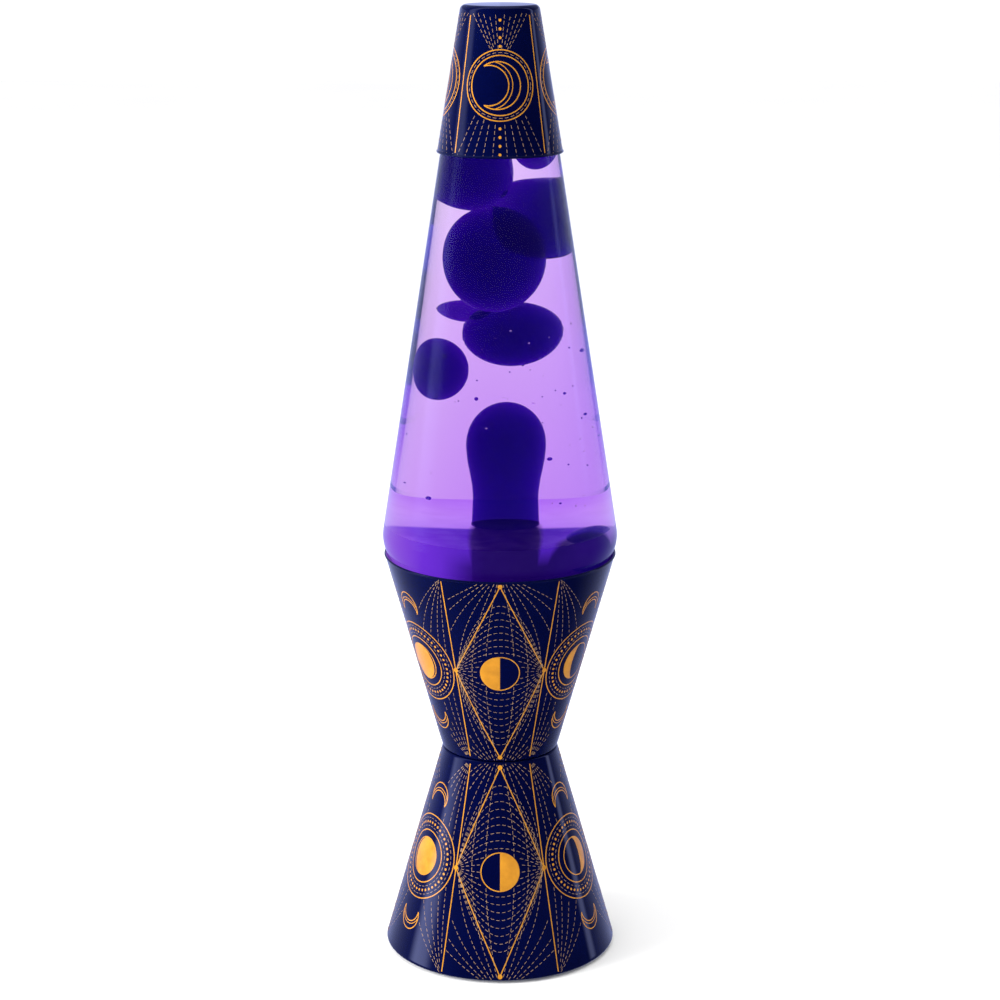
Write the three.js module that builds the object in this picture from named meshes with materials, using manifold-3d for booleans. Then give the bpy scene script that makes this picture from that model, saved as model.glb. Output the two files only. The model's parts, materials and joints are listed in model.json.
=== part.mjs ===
// Lava lamp with an hour-glass base: two spun cones, a tapered glass bottle and a conical cap.
//
// Millimetres, +Z up. The origin is the middle of the footprint, on the surface that the lamp stands on.

import * as THREE from 'three';
import { mergeVertices } from 'three/addons/utils/BufferGeometryUtils.js';
import Module from 'manifold-3d';

const wasm = await Module();
wasm.setup();

// ---------------------------------------------------------------------------------------------------------
// Driving dimensions
// ---------------------------------------------------------------------------------------------------------

const GAP = 0.3;                      // clearance between pieces that touch on the real lamp
const LARGE_TURNS = 36;               // sides of the big turned pieces
const MEDIUM_TURNS = 20;              // sides of the socket, the bulb and the closure
const SMALL_TURNS = 12;               // sides of rivets, feet and other trim

const lampHeight = 368;
const footHeight = 1.2;               // the rubber feet's free height

const cone = {
  wall: 1.0,
  footRadius: 45.5,
  footZ: 1.0,
  waistRadius: 22.5,
  waistZ: 82,                         // top face of the lower cone's ceiling
  rimRadius: 44.5,
  rimZ: 160.5,
  hemDepth: 2.4,                      // how far the rolled hem reaches inwards
  hemHeight: 4.0,
};

const bottle = {
  wall: 2.4,
  restZ: 138.5,                       // the standing ring, inside the upper cone
  ringRadius: 31,
  puntHeight: 7.5,
  puntRadius: 26,
  heelRadius: 5.2,
  seatRadius: 43.2,                   // where the glass meets the upper cone's rim
  seatZ: 160.3,
  seatAngle: THREE.MathUtils.degToRad(30),
  bulgeRadius: 14.2,
  coneTopRadius: 21.25,
  coneTopZ: 320,
  neckRadius: 12,
  neckZ: 338,
  mouthZ: 357,
};

const cap = {
  wall: 0.85,
  lowerRadius: 23.4,
  lowerZ: 314,
  upperRadius: 14.8,
  edgeRadius: 2.2,                    // rounding of the top edge
};

const closure = {
  skirtZ: 344,
  innerRadius: 12.9,
  wall: 1.1,
  linerThickness: 1.0,
};

const wax = {
  poolZ: 172,
  liquidZ: 330,
  columnX: 1.5,
  ventRadius: 1.0,                    // the channel that opens each drop's hollow in the liquid
};

const socket = {
  radius: 12.5,
  floorZ: 56,
  floorThickness: 6,
  topZ: 88,
  boreRadius: 9.7,
  flangeRadius: 16,
  flangeThickness: 2.5,
  shellRadius: 9.4,
  shellWall: 0.4,
  rivetX: 7.3,                        // the neutral rivet, through the shell's bottom flange
  liveRivetX: 2.6,                    // the live rivet, through the centre contact's foot
};

const bulb = {
  contactZ: 65.4,
  insulatorZ: 66.6,
  shellZ: 69,
  shellTopZ: 87,
  shellRadius: 8.3,
  shellWall: 0.4,
  neckZ: 83,
  neckRadius: 7.3,
  globeRadius: 17.5,
  globeZ: 106.8,
  glass: 0.8,
};

const cover = {
  radius: 42.6,
  thickness: 2.0,
  wallRadius: 41.5,
  wall: 1.5,
  height: 7.5,
  noseRadius: 42.5,
  slots: 10,
};

const gland = {
  z: 19,
  boreRadius: 2.7,
  bodyRadius: 4.2,
  flangeRadius: 5.4,
  flangeThickness: 1.6,
  nutRadius: 6.6,
};

// ---------------------------------------------------------------------------------------------------------
// Materials
// ---------------------------------------------------------------------------------------------------------

function material(color, roughness, metalness, extra = {}) {
  return new THREE.MeshStandardMaterial({ color, roughness, metalness, ...extra });
}

const materials = {
  navyPaint: material(0x0f1455, 0.22, 0.35),
  glass: material(0xe4def0, 0.05, 0.0, { transparent: true, opacity: 0.3 }),
  liquid: material(0xc08af0, 0.05, 0.0, { transparent: true, opacity: 0.45 }),
  wax: material(0x2c0a78, 0.35, 0.0),
  spring: material(0xb9b7b0, 0.3, 1.0),
  tinplate: material(0xc9c7c0, 0.35, 1.0),
  liner: material(0xe9e6dc, 0.7, 0.0),
  phenolic: material(0x17120f, 0.45, 0.0),
  brass: material(0xc79a45, 0.3, 1.0),
  steel: material(0xaaa9a5, 0.35, 1.0),
  bulbGlass: material(0xf2f4f6, 0.05, 0.0, { transparent: true, opacity: 0.35 }),
  tungsten: material(0x55504a, 0.5, 1.0),
  insulatorGlass: material(0x1d1a24, 0.15, 0.0),
  blackPlastic: material(0x16161a, 0.5, 0.0),
  rubber: material(0x202022, 0.85, 0.0),
  liveSleeve: material(0x1a1a1c, 0.55, 0.0),
  neutralSleeve: material(0xe8e6e0, 0.55, 0.0),
  nylon: material(0xdcdad2, 0.5, 0.0),
};

// ---------------------------------------------------------------------------------------------------------
// Shape helpers
// ---------------------------------------------------------------------------------------------------------

/** Points of an arc about (r, z), from one angle to another, in steps of equal angle. */
function arc(r, z, radius, from, to, steps) {
  const points = [];
  for (let i = 0; i <= steps; i += 1) {
    const angle = from + (to - from) * (i / steps);
    points.push([r + radius * Math.cos(angle), z + radius * Math.sin(angle)]);
  }
  return points;
}

/** Points of a cubic Bezier curve between two ends, through the pull of two handles. */
function bezier(start, handleA, handleB, end, steps) {
  const ends = [start, handleA, handleB, end].map(([r, z]) => new THREE.Vector2(r, z));
  return new THREE.CubicBezierCurve(...ends).getPoints(steps).map((p) => [p.x, p.y]);
}

/** A closed geometry with shared vertices, no flat triangles and its faces pointing out. */
function sealed(geometry) {
  const bare = geometry.index ? geometry : mergeVertices(geometry);
  bare.deleteAttribute('normal');
  bare.deleteAttribute('uv');
  const merged = mergeVertices(bare, 1e-4);
  const position = merged.attributes.position;
  const corners = [new THREE.Vector3(), new THREE.Vector3(), new THREE.Vector3()];
  const kept = [];
  let volume = 0;
  for (let i = 0; i < merged.index.count; i += 3) {
    const triangle = [0, 1, 2].map((k) => merged.index.getX(i + k));
    if (new Set(triangle).size === 3) {
      corners.forEach((corner, k) => corner.fromBufferAttribute(position, triangle[k]));
      volume += corners[0].dot(corners[1].clone().cross(corners[2]));
      kept.push(triangle);
    }
  }
  const facing = volume < 0 ? kept.map(([a, b, c]) => [a, c, b]) : kept;
  merged.setIndex(facing.flat());
  return merged;
}

/** A solid of revolution about Z. The profile starts and ends on the axis, or closes on itself. */
function turned(profile, sides) {
  const points = profile.map(([r, z]) => new THREE.Vector2(r, z));
  const onAxis = points[0].x === 0 && points.at(-1).x === 0;
  if (!onAxis) points.push(points[0].clone());
  const geometry = new THREE.LatheGeometry(points, sides);
  geometry.rotateX(Math.PI / 2);
  return sealed(geometry);
}

/** A plain disc or rod about Z. */
function disc(radius, lowZ, highZ, sides) {
  return turned([[0, lowZ], [radius, lowZ], [radius, highZ], [0, highZ]], sides);
}

/** A flat outline given by its corners, made thick upwards from z = 0. */
function plate(corners, thickness) {
  const shape = new THREE.Shape(corners.map(([x, y]) => new THREE.Vector2(x, y)));
  return sealed(new THREE.ExtrudeGeometry(shape, { depth: thickness, bevelEnabled: false }));
}

/** A round bar along a curve. */
function bar(curve, radius, sides, steps) {
  const section = new THREE.Shape();
  for (let i = 0; i < sides; i += 1) {
    const angle = (2 * Math.PI * i) / sides;
    const [x, y] = [radius * Math.cos(angle), radius * Math.sin(angle)];
    if (i === 0) section.moveTo(x, y);
    else section.lineTo(x, y);
  }
  return sealed(new THREE.ExtrudeGeometry(section, { extrudePath: curve, steps, bevelEnabled: false }));
}

function toManifold(geometry) {
  const vertProperties = new Float32Array(geometry.attributes.position.array);
  const triVerts = new Uint32Array(geometry.index.array);
  return new wasm.Manifold(new wasm.Mesh({ numProp: 3, vertProperties, triVerts }));
}

function toGeometry(manifold) {
  const mesh = manifold.getMesh();
  const geometry = new THREE.BufferGeometry();
  geometry.setAttribute('position', new THREE.BufferAttribute(new Float32Array(mesh.vertProperties), 3));
  geometry.setIndex(Array.from(mesh.triVerts));
  return sealed(geometry);
}

function cut(geometry, tools) {
  const whole = tools.reduce((left, tool) => left.subtract(toManifold(tool)), toManifold(geometry));
  return toGeometry(whole);
}

function joined(geometries) {
  return toGeometry(geometries.map(toManifold).reduce((left, right) => left.add(right)));
}

function common(first, second) {
  return toGeometry(toManifold(first).intersect(toManifold(second)));
}

const lamp = new THREE.Group();

function addPart(name, geometry, look, parent = lamp) {
  const mesh = new THREE.Mesh(geometry, look);
  mesh.name = name;
  parent.add(mesh);
  return mesh;
}

// ---------------------------------------------------------------------------------------------------------
// Base: two cones of the same stamping, back to back, riveted at the waist
// ---------------------------------------------------------------------------------------------------------

const lowerSlope = (cone.footRadius - cone.waistRadius) / (cone.waistZ - cone.footZ);
const upperFloorZ = cone.waistZ + GAP;
const upperSlope = (cone.rimRadius - cone.waistRadius) / (cone.rimZ - upperFloorZ);
const socketHoleRadius = socket.radius + 0.5;
const rivet = { count: 3, circle: 18.7, radius: 1.2, headRadius: 2.2, headHeight: 1.1 };

function lowerConeRadius(z) {
  return cone.footRadius - lowerSlope * (z - cone.footZ);
}

function upperConeRadius(z) {
  return cone.waistRadius + upperSlope * (z - upperFloorZ);
}

/** Where the rivets go round the waist: one at the front, the others spaced evenly. */
function rivetPlaces() {
  return Array.from({ length: rivet.count }, (_, i) => {
    const angle = -Math.PI / 2 + (2 * Math.PI * i) / rivet.count;
    return [rivet.circle * Math.cos(angle), rivet.circle * Math.sin(angle)];
  });
}

function rivetHoles(lowZ, highZ) {
  return rivetPlaces().map(([x, y]) =>
    disc(rivet.radius + GAP, lowZ, highZ, SMALL_TURNS).translate(x, y, 0));
}

function makeLowerCone() {
  const ceiling = cone.waistZ - cone.wall;
  const hemTop = cone.footZ + cone.hemHeight;
  const profile = [
    [socketHoleRadius, cone.waistZ],
    [cone.waistRadius, cone.waistZ],
    [cone.footRadius, cone.footZ],
    [cone.footRadius - cone.hemDepth, cone.footZ],
    [lowerConeRadius(hemTop) - cone.hemDepth, hemTop],
    [lowerConeRadius(hemTop) - cone.wall, hemTop + cone.wall],
    [lowerConeRadius(ceiling) - cone.wall, ceiling],
    [socketHoleRadius, ceiling],
  ];
  const glandHole = disc(gland.bodyRadius + GAP, -6, 6, SMALL_TURNS);
  glandHole.applyMatrix4(glandPlace());
  const holes = rivetHoles(ceiling - 1, cone.waistZ + 1);
  addPart('lower_cone', cut(turned(profile, LARGE_TURNS), [glandHole, ...holes]), materials.navyPaint);
}

function makeUpperCone() {
  const floor = upperFloorZ + cone.wall;
  const beadHeight = 1.2;
  const bead = 0.3;
  const profile = [
    [socketHoleRadius, upperFloorZ],
    [cone.waistRadius, upperFloorZ],
    [upperConeRadius(cone.rimZ - beadHeight), cone.rimZ - beadHeight],
    [cone.rimRadius + bead, cone.rimZ - beadHeight],
    [cone.rimRadius + bead, cone.rimZ],
    [cone.rimRadius - cone.wall, cone.rimZ],
    [upperConeRadius(floor) - cone.wall, floor],
    [socketHoleRadius, floor],
  ];
  const holes = rivetHoles(upperFloorZ - 1, floor + 1);
  addPart('upper_cone', cut(turned(profile, LARGE_TURNS), holes), materials.navyPaint);
}

function makeWaistRivets() {
  const low = cone.waistZ - cone.wall - GAP;
  const high = upperFloorZ + cone.wall + GAP;
  const profile = [
    [0, low - rivet.headHeight],
    [rivet.headRadius, low - rivet.headHeight],
    [rivet.headRadius, low],
    [rivet.radius, low],
    [rivet.radius, high],
    [rivet.headRadius, high],
    [rivet.headRadius * 0.7, high + rivet.headHeight],
    [0, high + rivet.headHeight],
  ];
  rivetPlaces().forEach(([x, y], i) => {
    const mesh = addPart(`waist_rivet_${i + 1}`, turned(profile, SMALL_TURNS), materials.steel);
    mesh.position.set(x, y, 0);
  });
}

// ---------------------------------------------------------------------------------------------------------
// Bottom: snap-in vented cover, feet and the cord's inlet
// ---------------------------------------------------------------------------------------------------------

const coverZ = footHeight + GAP;
const feet = { count: 4, circle: 35, radius: 4.2 };

function coverSlot(angle) {
  const [inner, outer, half] = [14, 28, 1.3];
  const corners = [[inner, -half], [outer, -half], [outer, half], [inner, half]];
  return plate(corners, cover.thickness + 2).translate(0, 0, coverZ - 1).rotateZ(angle);
}

/** Four short lengths of a ramped ring, which hook over the cone's rolled hem. */
function snapNoses() {
  const low = cone.footZ + cone.hemHeight + 0.6;
  const high = low + 2;
  const root = cover.wallRadius - cover.wall / 2;
  const ring = turned([[root, low], [cover.noseRadius, low], [cover.wallRadius, high], [root, high]],
    LARGE_TURNS);
  const half = 4;
  const reach = cover.noseRadius + 5;
  const across = plate([[-reach, -half], [reach, -half], [reach, half], [-reach, half]], high);
  return common(ring, joined([across, across.clone().rotateZ(Math.PI / 2)]));
}

function makeBottomCover() {
  const top = coverZ + cover.height;
  const floor = coverZ + cover.thickness;
  const inner = cover.wallRadius - cover.wall;
  const profile = [
    [0, coverZ],
    [cover.radius, coverZ],
    [cover.wallRadius, floor],
    [cover.wallRadius, top],
    [inner, top],
    [inner, floor],
    [0, floor],
  ];
  const slotStep = (2 * Math.PI) / cover.slots;
  const slots = Array.from({ length: cover.slots }, (_, i) => coverSlot(slotStep * (i + 0.5)));
  const body = joined([turned(profile, LARGE_TURNS), snapNoses()]);
  addPart('bottom_cover', cut(body, slots), materials.blackPlastic);
}

function makeFeet() {
  const profile = [
    [0, 0],
    [feet.radius - 0.4, 0],
    [feet.radius, 0.4],
    [feet.radius, footHeight],
    [0, footHeight],
  ];
  for (let i = 0; i < feet.count; i += 1) {
    const angle = Math.PI / 4 + (2 * Math.PI * i) / feet.count;
    const mesh = addPart(`rubber_foot_${i + 1}`, turned(profile, SMALL_TURNS), materials.rubber);
    mesh.position.set(feet.circle * Math.cos(angle), feet.circle * Math.sin(angle), 0);
  }
}

/** The gland's frame: on the back of the lower cone, with its own Z along the wall's outward normal. */
function glandPlace() {
  const lean = Math.atan(lowerSlope);
  const turn = new THREE.Matrix4().makeRotationX(-(Math.PI / 2 - lean));
  return turn.setPosition(0, lowerConeRadius(gland.z), gland.z);
}

function makeGland() {
  const group = new THREE.Group();
  group.applyMatrix4(glandPlace());
  lamp.add(group);
  const nutTop = -(cone.wall + 2 * GAP + 0.2);
  const nutThickness = 2.2;
  const bodyLow = nutTop - nutThickness - 1.5;
  const body = [
    [gland.boreRadius, bodyLow],
    [gland.bodyRadius, bodyLow],
    [gland.bodyRadius, GAP],
    [gland.flangeRadius, GAP],
    [gland.flangeRadius, gland.flangeThickness],
    [gland.boreRadius + 1, gland.flangeThickness + 2.2],
    [gland.boreRadius, gland.flangeThickness + 2.2],
  ];
  addPart('cord_gland', turned(body, MEDIUM_TURNS), materials.blackPlastic, group);
  const hexagon = Array.from({ length: 6 }, (_, i) => {
    const angle = (Math.PI * i) / 3;
    return [gland.nutRadius * Math.cos(angle), gland.nutRadius * Math.sin(angle)];
  });
  const nut = plate(hexagon, nutThickness).translate(0, 0, nutTop - nutThickness);
  const bore = disc(gland.bodyRadius + GAP, nutTop - 2 * nutThickness, nutTop + 1, MEDIUM_TURNS);
  addPart('gland_nut', cut(nut, [bore]), materials.blackPlastic, group);
}

// ---------------------------------------------------------------------------------------------------------
// Lamp holder: phenolic body through both cones, clamped by a ring, with its contacts and leads
// ---------------------------------------------------------------------------------------------------------

const socketFloorTop = socket.floorZ + socket.floorThickness;
const contactThickness = 0.5;
const socketRivet = { radius: 0.9, headRadius: 1.6, headHeight: 0.6 };
const terminalThickness = 0.7;

function makeSocketBody() {
  const flangeTop = cone.waistZ - cone.wall - GAP;
  const profile = [
    [0, socket.floorZ],
    [socket.radius, socket.floorZ],
    [socket.radius, flangeTop - socket.flangeThickness],
    [socket.flangeRadius, flangeTop - socket.flangeThickness],
    [socket.flangeRadius, flangeTop],
    [socket.radius, flangeTop],
    [socket.radius, socket.topZ],
    [socket.boreRadius, socket.topZ],
    [socket.boreRadius, socketFloorTop],
    [0, socketFloorTop],
  ];
  const holes = [-socket.rivetX, socket.liveRivetX].map((x) =>
    disc(socketRivet.radius + GAP, socket.floorZ - 1, socketFloorTop + 1, SMALL_TURNS).translate(x, 0, 0));
  addPart('socket_body', cut(turned(profile, MEDIUM_TURNS), holes), materials.phenolic);
}

function makeSocketRing() {
  const low = upperFloorZ + cone.wall + GAP;
  const high = low + 3.6;
  const inner = socket.radius + GAP;
  const outer = 15.6;
  const profile = [[inner, low], [outer, low], [outer, high - 0.8], [outer - 0.8, high], [inner, high]];
  addPart('socket_ring', turned(profile, MEDIUM_TURNS), materials.phenolic);
}

function makeSocketShell() {
  const low = socketFloorTop + GAP;
  const inner = socket.shellRadius - socket.shellWall;
  const flangeInner = 5.4;
  const profile = [
    [flangeInner, low],
    [socket.shellRadius, low],
    [socket.shellRadius, socket.topZ - 2],
    [inner, socket.topZ - 2],
    [inner, low + contactThickness],
    [flangeInner, low + contactThickness],
  ];
  const holeRadius = socketRivet.radius + GAP;
  const hole = disc(holeRadius, low - 1, low + 2, SMALL_TURNS).translate(-socket.rivetX, 0, 0);
  addPart('socket_shell', cut(turned(profile, MEDIUM_TURNS), [hole]), materials.brass);
}

/** A leaf spring: a flat foot under the live rivet, then an arm that rises under the bulb's contact. */
function makeCentreContact() {
  const low = socketFloorTop + GAP;
  const tip = bulb.contactZ - GAP;
  const outline = [
    [-3.2, low],
    [4.6, low],
    [4.6, low + contactThickness],
    [-2.6, low + contactThickness],
    [-1.2, tip - contactThickness],
    [1.4, tip - contactThickness],
    [1.4, tip],
    [-1.5, tip],
  ];
  const width = 4;
  const leaf = plate(outline, width).rotateX(Math.PI / 2).translate(0, width / 2, 0);
  const holeRadius = socketRivet.radius + GAP;
  const hole = disc(holeRadius, low - 1, low + 1, SMALL_TURNS).translate(socket.liveRivetX, 0, 0);
  addPart('socket_centre_contact', cut(leaf, [hole]), materials.brass);
}

/** The two rivets that tie each contact to its terminal, and the terminals under the socket's floor. */
function makeTerminal(role, x) {
  const top = socketFloorTop + contactThickness + 2 * GAP;
  const low = socket.floorZ - terminalThickness - 2 * GAP;
  const pin = [
    [0, low - socketRivet.headHeight],
    [socketRivet.headRadius, low - socketRivet.headHeight],
    [socketRivet.headRadius, low],
    [socketRivet.radius, low],
    [socketRivet.radius, top],
    [socketRivet.headRadius * 0.8, top],
    [socketRivet.headRadius * 0.8, top + socketRivet.headHeight],
    [0, top + socketRivet.headHeight],
  ];
  addPart(`socket_rivet_${role}`, turned(pin, SMALL_TURNS), materials.brass).position.x = x;
  const half = 2.2;
  const tail = 15;
  const outline = [[x - half, -half], [x + half, -half], [x + half, tail], [x - half, tail]];
  const strip = plate(outline, terminalThickness).translate(0, 0, socket.floorZ - GAP - terminalThickness);
  const hole = disc(socketRivet.radius + GAP, low - 2, socket.floorZ, SMALL_TURNS).translate(x, 0, 0);
  addPart(`terminal_${role}`, cut(strip, [hole]), materials.brass);
  return new THREE.Vector3(x, tail + GAP, socket.floorZ - GAP - terminalThickness / 2);
}

/** A lead from a terminal's tail down the back of the base into a closed-end crimp connector. */
function makeLead(role, start, sleeve) {
  const side = Math.sign(start.x);
  const end = new THREE.Vector3(side * 8, 27, 27);
  const route = new THREE.CatmullRomCurve3([
    start,
    new THREE.Vector3(start.x, start.y + 3.5, start.z - 0.6),
    new THREE.Vector3(start.x + side, start.y + 7, start.z - 6),
    new THREE.Vector3(side * 8, 25.5, 38),
    end,
  ]);
  addPart(`lead_${role}`, bar(route, 1.15, 8, 14), sleeve);
  const mouth = end.z - GAP;
  const length = 17;
  const profile = [
    [0, mouth - length],
    [2.2, mouth - length],
    [3.0, mouth - length + 2],
    [3.3, mouth],
    [0, mouth],
  ];
  const connector = addPart(`wire_connector_${role}`, turned(profile, SMALL_TURNS), materials.nylon);
  connector.position.set(end.x, end.y, 0);
}

// ---------------------------------------------------------------------------------------------------------
// Bulb: pear-shaped glass on a screw base, with its stem, leads and filament
// ---------------------------------------------------------------------------------------------------------

/** The glass outline from the neck up over the globe, drawn in by a given depth. */
function envelopeOutline(inset) {
  const radius = bulb.globeRadius - inset;
  const from = THREE.MathUtils.degToRad(-25);
  const globe = arc(0, bulb.globeZ, radius, from, Math.PI / 2, 7);
  const [r, z] = globe[0];
  const neckTop = [bulb.neckRadius - inset, bulb.shellTopZ + 1.5];
  const flare = bezier(neckTop, [neckTop[0] + 0.4, neckTop[1] + 4], [r - 2.6, z - 5.5], [r, z], 3);
  globe[globe.length - 1][0] = 0;
  return [[bulb.neckRadius - inset, bulb.neckZ], ...flare, ...globe.slice(1)];
}

function makeBulbEnvelope() {
  const inner = envelopeOutline(bulb.glass).reverse();
  const profile = [...inner, ...envelopeOutline(0)];
  addPart('bulb_envelope', turned(profile, MEDIUM_TURNS), materials.bulbGlass);
}

function makeBulbBase() {
  const inner = bulb.shellRadius - bulb.shellWall;
  const shell = [
    [inner - 2.6, bulb.shellZ],
    [bulb.shellRadius - 1, bulb.shellZ],
    [bulb.shellRadius, bulb.shellZ + 1.2],
    [bulb.shellRadius, bulb.shellTopZ],
    [inner, bulb.shellTopZ],
    [inner, bulb.shellZ + 1.4],
    [inner - 2.6, bulb.shellZ + bulb.shellWall],
  ];
  addPart('bulb_screw_shell', turned(shell, MEDIUM_TURNS), materials.brass);
  const insulator = [
    [2.2, bulb.insulatorZ],
    [3.4, bulb.insulatorZ],
    [5.0, bulb.shellZ - GAP],
    [2.2, bulb.shellZ - GAP],
  ];
  addPart('bulb_insulator', turned(insulator, MEDIUM_TURNS), materials.insulatorGlass);
  const contact = [
    [0, bulb.contactZ],
    [1.4, bulb.contactZ],
    [2.6, bulb.contactZ + 0.6],
    [2.6, bulb.insulatorZ - GAP],
    [1.8, bulb.insulatorZ - GAP],
    [1.8, bulb.shellZ],
    [0, bulb.shellZ],
  ];
  addPart('bulb_contact', turned(contact, SMALL_TURNS), materials.steel);
}

/** The glass stem with its flare and button, two lead wires out of it, and the filament between them. */
function makeBulbMount() {
  const stem = [
    [0, bulb.neckZ + 1],
    [4.6, bulb.neckZ + 1],
    [3.4, bulb.neckZ + 4],
    [1.7, bulb.neckZ + 7],
    [1.7, bulb.neckZ + 13],
    [0, bulb.neckZ + 13.5],
  ];
  addPart('bulb_stem', turned(stem, SMALL_TURNS), materials.bulbGlass);
  const hook = { foot: 2.2, reach: 8, top: bulb.globeZ + 2 };
  [-1, 1].forEach((side, i) => {
    const route = new THREE.CatmullRomCurve3([
      new THREE.Vector3(side * hook.foot, 0, bulb.neckZ + 9),
      new THREE.Vector3(side * (hook.foot + 0.5), 0, bulb.neckZ + 15),
      new THREE.Vector3(side * hook.reach, 0, hook.top),
    ]);
    addPart(`bulb_lead_${i + 1}`, bar(route, 0.35, 6, 6), materials.steel);
  });
  const end = hook.reach - 0.8;
  const filament = new THREE.CatmullRomCurve3([
    new THREE.Vector3(-end, 0, hook.top + 0.9),
    new THREE.Vector3(-end / 2, 2.6, hook.top + 1.9),
    new THREE.Vector3(0, 3.4, hook.top + 2.3),
    new THREE.Vector3(end / 2, 2.6, hook.top + 1.9),
    new THREE.Vector3(end, 0, hook.top + 0.9),
  ]);
  addPart('bulb_filament', bar(filament, 0.3, 6, 12), materials.tungsten);
}

// ---------------------------------------------------------------------------------------------------------
// Bottle: tapered glass with a punt, its closure, and the heating coil on its floor
// ---------------------------------------------------------------------------------------------------------

/** The bottle's outline from the middle of its floor to its mouth, drawn in by a given depth. */
function bottleOutline(inset) {
  const b = bottle;
  const puntPoints = Array.from({ length: 4 }, (_, i) => {
    const r = (b.puntRadius * i) / 3;
    return [r, b.restZ + inset + b.puntHeight * (1 - (r / b.puntRadius) ** 2) + 0.9];
  });
  const heel = arc(b.ringRadius, b.restZ + b.heelRadius, b.heelRadius - inset, -Math.PI / 2, -0.35, 3);
  const seat = [b.seatRadius - inset * Math.cos(b.seatAngle), b.seatZ + inset * Math.sin(b.seatAngle)];
  const rise = bezier(heel.at(-1), [heel.at(-1)[0] + 1.8, 149], [seat[0] - 2.6, seat[1] - 4.5], seat, 3);
  const bulgeR = b.seatRadius - b.bulgeRadius * Math.cos(b.seatAngle);
  const bulgeZ = b.seatZ + b.bulgeRadius * Math.sin(b.seatAngle);
  const taper = Math.atan((b.seatRadius - b.coneTopRadius) / (b.coneTopZ - b.seatZ)) * 1.05;
  const bulge = arc(bulgeR, bulgeZ, b.bulgeRadius - inset, -b.seatAngle, taper, 3);
  const top = [b.coneTopRadius - inset, b.coneTopZ];
  const neck = [b.neckRadius - inset, b.neckZ];
  const shoulder = bezier(top, [top[0] - 0.8, top[1] + 6.5], [neck[0], neck[1] - 7], neck, 4);
  return [...puntPoints, ...heel, ...rise.slice(1), ...bulge.slice(1), ...shoulder];
}

function makeBottle() {
  const { neckRadius, wall, mouthZ } = bottle;
  const collar = 0.6;
  const collarZ = closure.skirtZ - 2.5;
  const finish = [
    [neckRadius, collarZ],
    [neckRadius + collar, collarZ + 0.4],
    [neckRadius + collar, collarZ + 1.6],
    [neckRadius, collarZ + 2],
    [neckRadius, mouthZ],
    [neckRadius - wall, mouthZ],
  ];
  const inside = bottleOutline(wall).reverse();
  const outline = [...bottleOutline(0), ...finish, ...inside];
  addPart('glass_bottle', turned(outline, LARGE_TURNS), materials.glass);
}

function makeClosure() {
  const linerLow = bottle.mouthZ + GAP;
  const linerHigh = linerLow + closure.linerThickness;
  const inner = closure.innerRadius;
  addPart('closure_liner', disc(inner - GAP, linerLow, linerHigh, MEDIUM_TURNS), materials.liner);
  const ceiling = linerHigh + GAP;
  const outer = inner + closure.wall;
  const profile = [
    [0, ceiling],
    [inner, ceiling],
    [inner, closure.skirtZ],
    [outer, closure.skirtZ],
    [outer, ceiling],
    [outer - 0.8, ceiling + closure.wall],
    [0, ceiling + closure.wall],
  ];
  addPart('bottle_screw_cap', turned(profile, MEDIUM_TURNS), materials.tinplate);
}

const coil = { radius: 31.2, tube: 2.3 };
const coilZ = bottle.restZ + bottle.wall + GAP + coil.tube;

/** The coiled wire ring, as the plain ring that its turns fill. */
function makeHeatingCoil() {
  const ring = new THREE.TorusGeometry(coil.radius, coil.tube, 6, 32);
  addPart('heating_coil', sealed(ring), materials.spring).position.z = coilZ;
}

// ---------------------------------------------------------------------------------------------------------
// Wax and liquid
// ---------------------------------------------------------------------------------------------------------

// centre, half-sizes (across, back to front, up) and turn about Z of each rounded piece of wax
const drops = {
  wax_top_mass: { centre: [-8, 3, 309], size: [10.5, 11.5, 17], turn: 0 },
  wax_top_drop: { centre: [9.9, 1, 317], size: [7.0, 8.5, 10], turn: 0 },
  wax_drop_large: { centre: [-2, -8.5, 275], size: [16.4, 15, 19.4], turn: 0 },
  wax_drop_right: { centre: [12.4, 8.8, 287], size: [7.4, 13, 15], turn: 35 },
  wax_drop_middle: { centre: [3, 8, 244], size: [12.8, 12.8, 12.2], turn: 0 },
  wax_drop_left: { centre: [-19.8, -8.9, 233.5], size: [10.1, 9.8, 11.7], turn: 0 },
  wax_drop_small: { centre: [-7.2, 22.6, 250], size: [5.6, 4.6, 4.2], turn: 0 },
};

/** An ellipsoid, grown by a given depth. */
function dropShape({ centre, size, turn }, grow = 0) {
  const ball = new THREE.SphereGeometry(1, 14, 8).rotateX(Math.PI / 2);
  ball.scale(...size.map((half) => half + grow));
  ball.rotateZ(THREE.MathUtils.degToRad(turn));
  return sealed(ball.translate(...centre));
}

/** The rising column: a wide foot in the pool, a waist and a round head. */
function columnShape(grow = 0) {
  const headRadius = 11 + grow;
  const headZ = 208.4;
  const neckRadius = 9.2 + grow;
  const foot = [[0, 165], [14 + grow, 165], [14 + grow, wax.poolZ]];
  const bottom = [11.2 + grow, wax.poolZ + 4];
  const top = [10.4 + grow, 200];
  const side = bezier(bottom, [neckRadius, 182], [neckRadius, 188], top, 3);
  const head = arc(0, headZ, headRadius, 0, Math.PI / 2, 4);
  head.at(-1)[0] = 0;
  return turned([...foot, ...side, ...head], 20).translate(wax.columnX, 0, 0);
}

/** What fills the bottle between two heights, a given depth inside its outer face. */
function insideBottle(inset, lowZ, highZ) {
  const outline = bottleOutline(inset);
  const column = turned([...outline, [0, outline.at(-1)[1]]], LARGE_TURNS);
  return common(column, disc(bottle.ringRadius * 2, lowZ, highZ, SMALL_TURNS));
}

const mound = { centre: [24, -12, 165], size: [13, 15, 9.5], turn: 0 };
const fillInset = bottle.wall + GAP;

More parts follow.
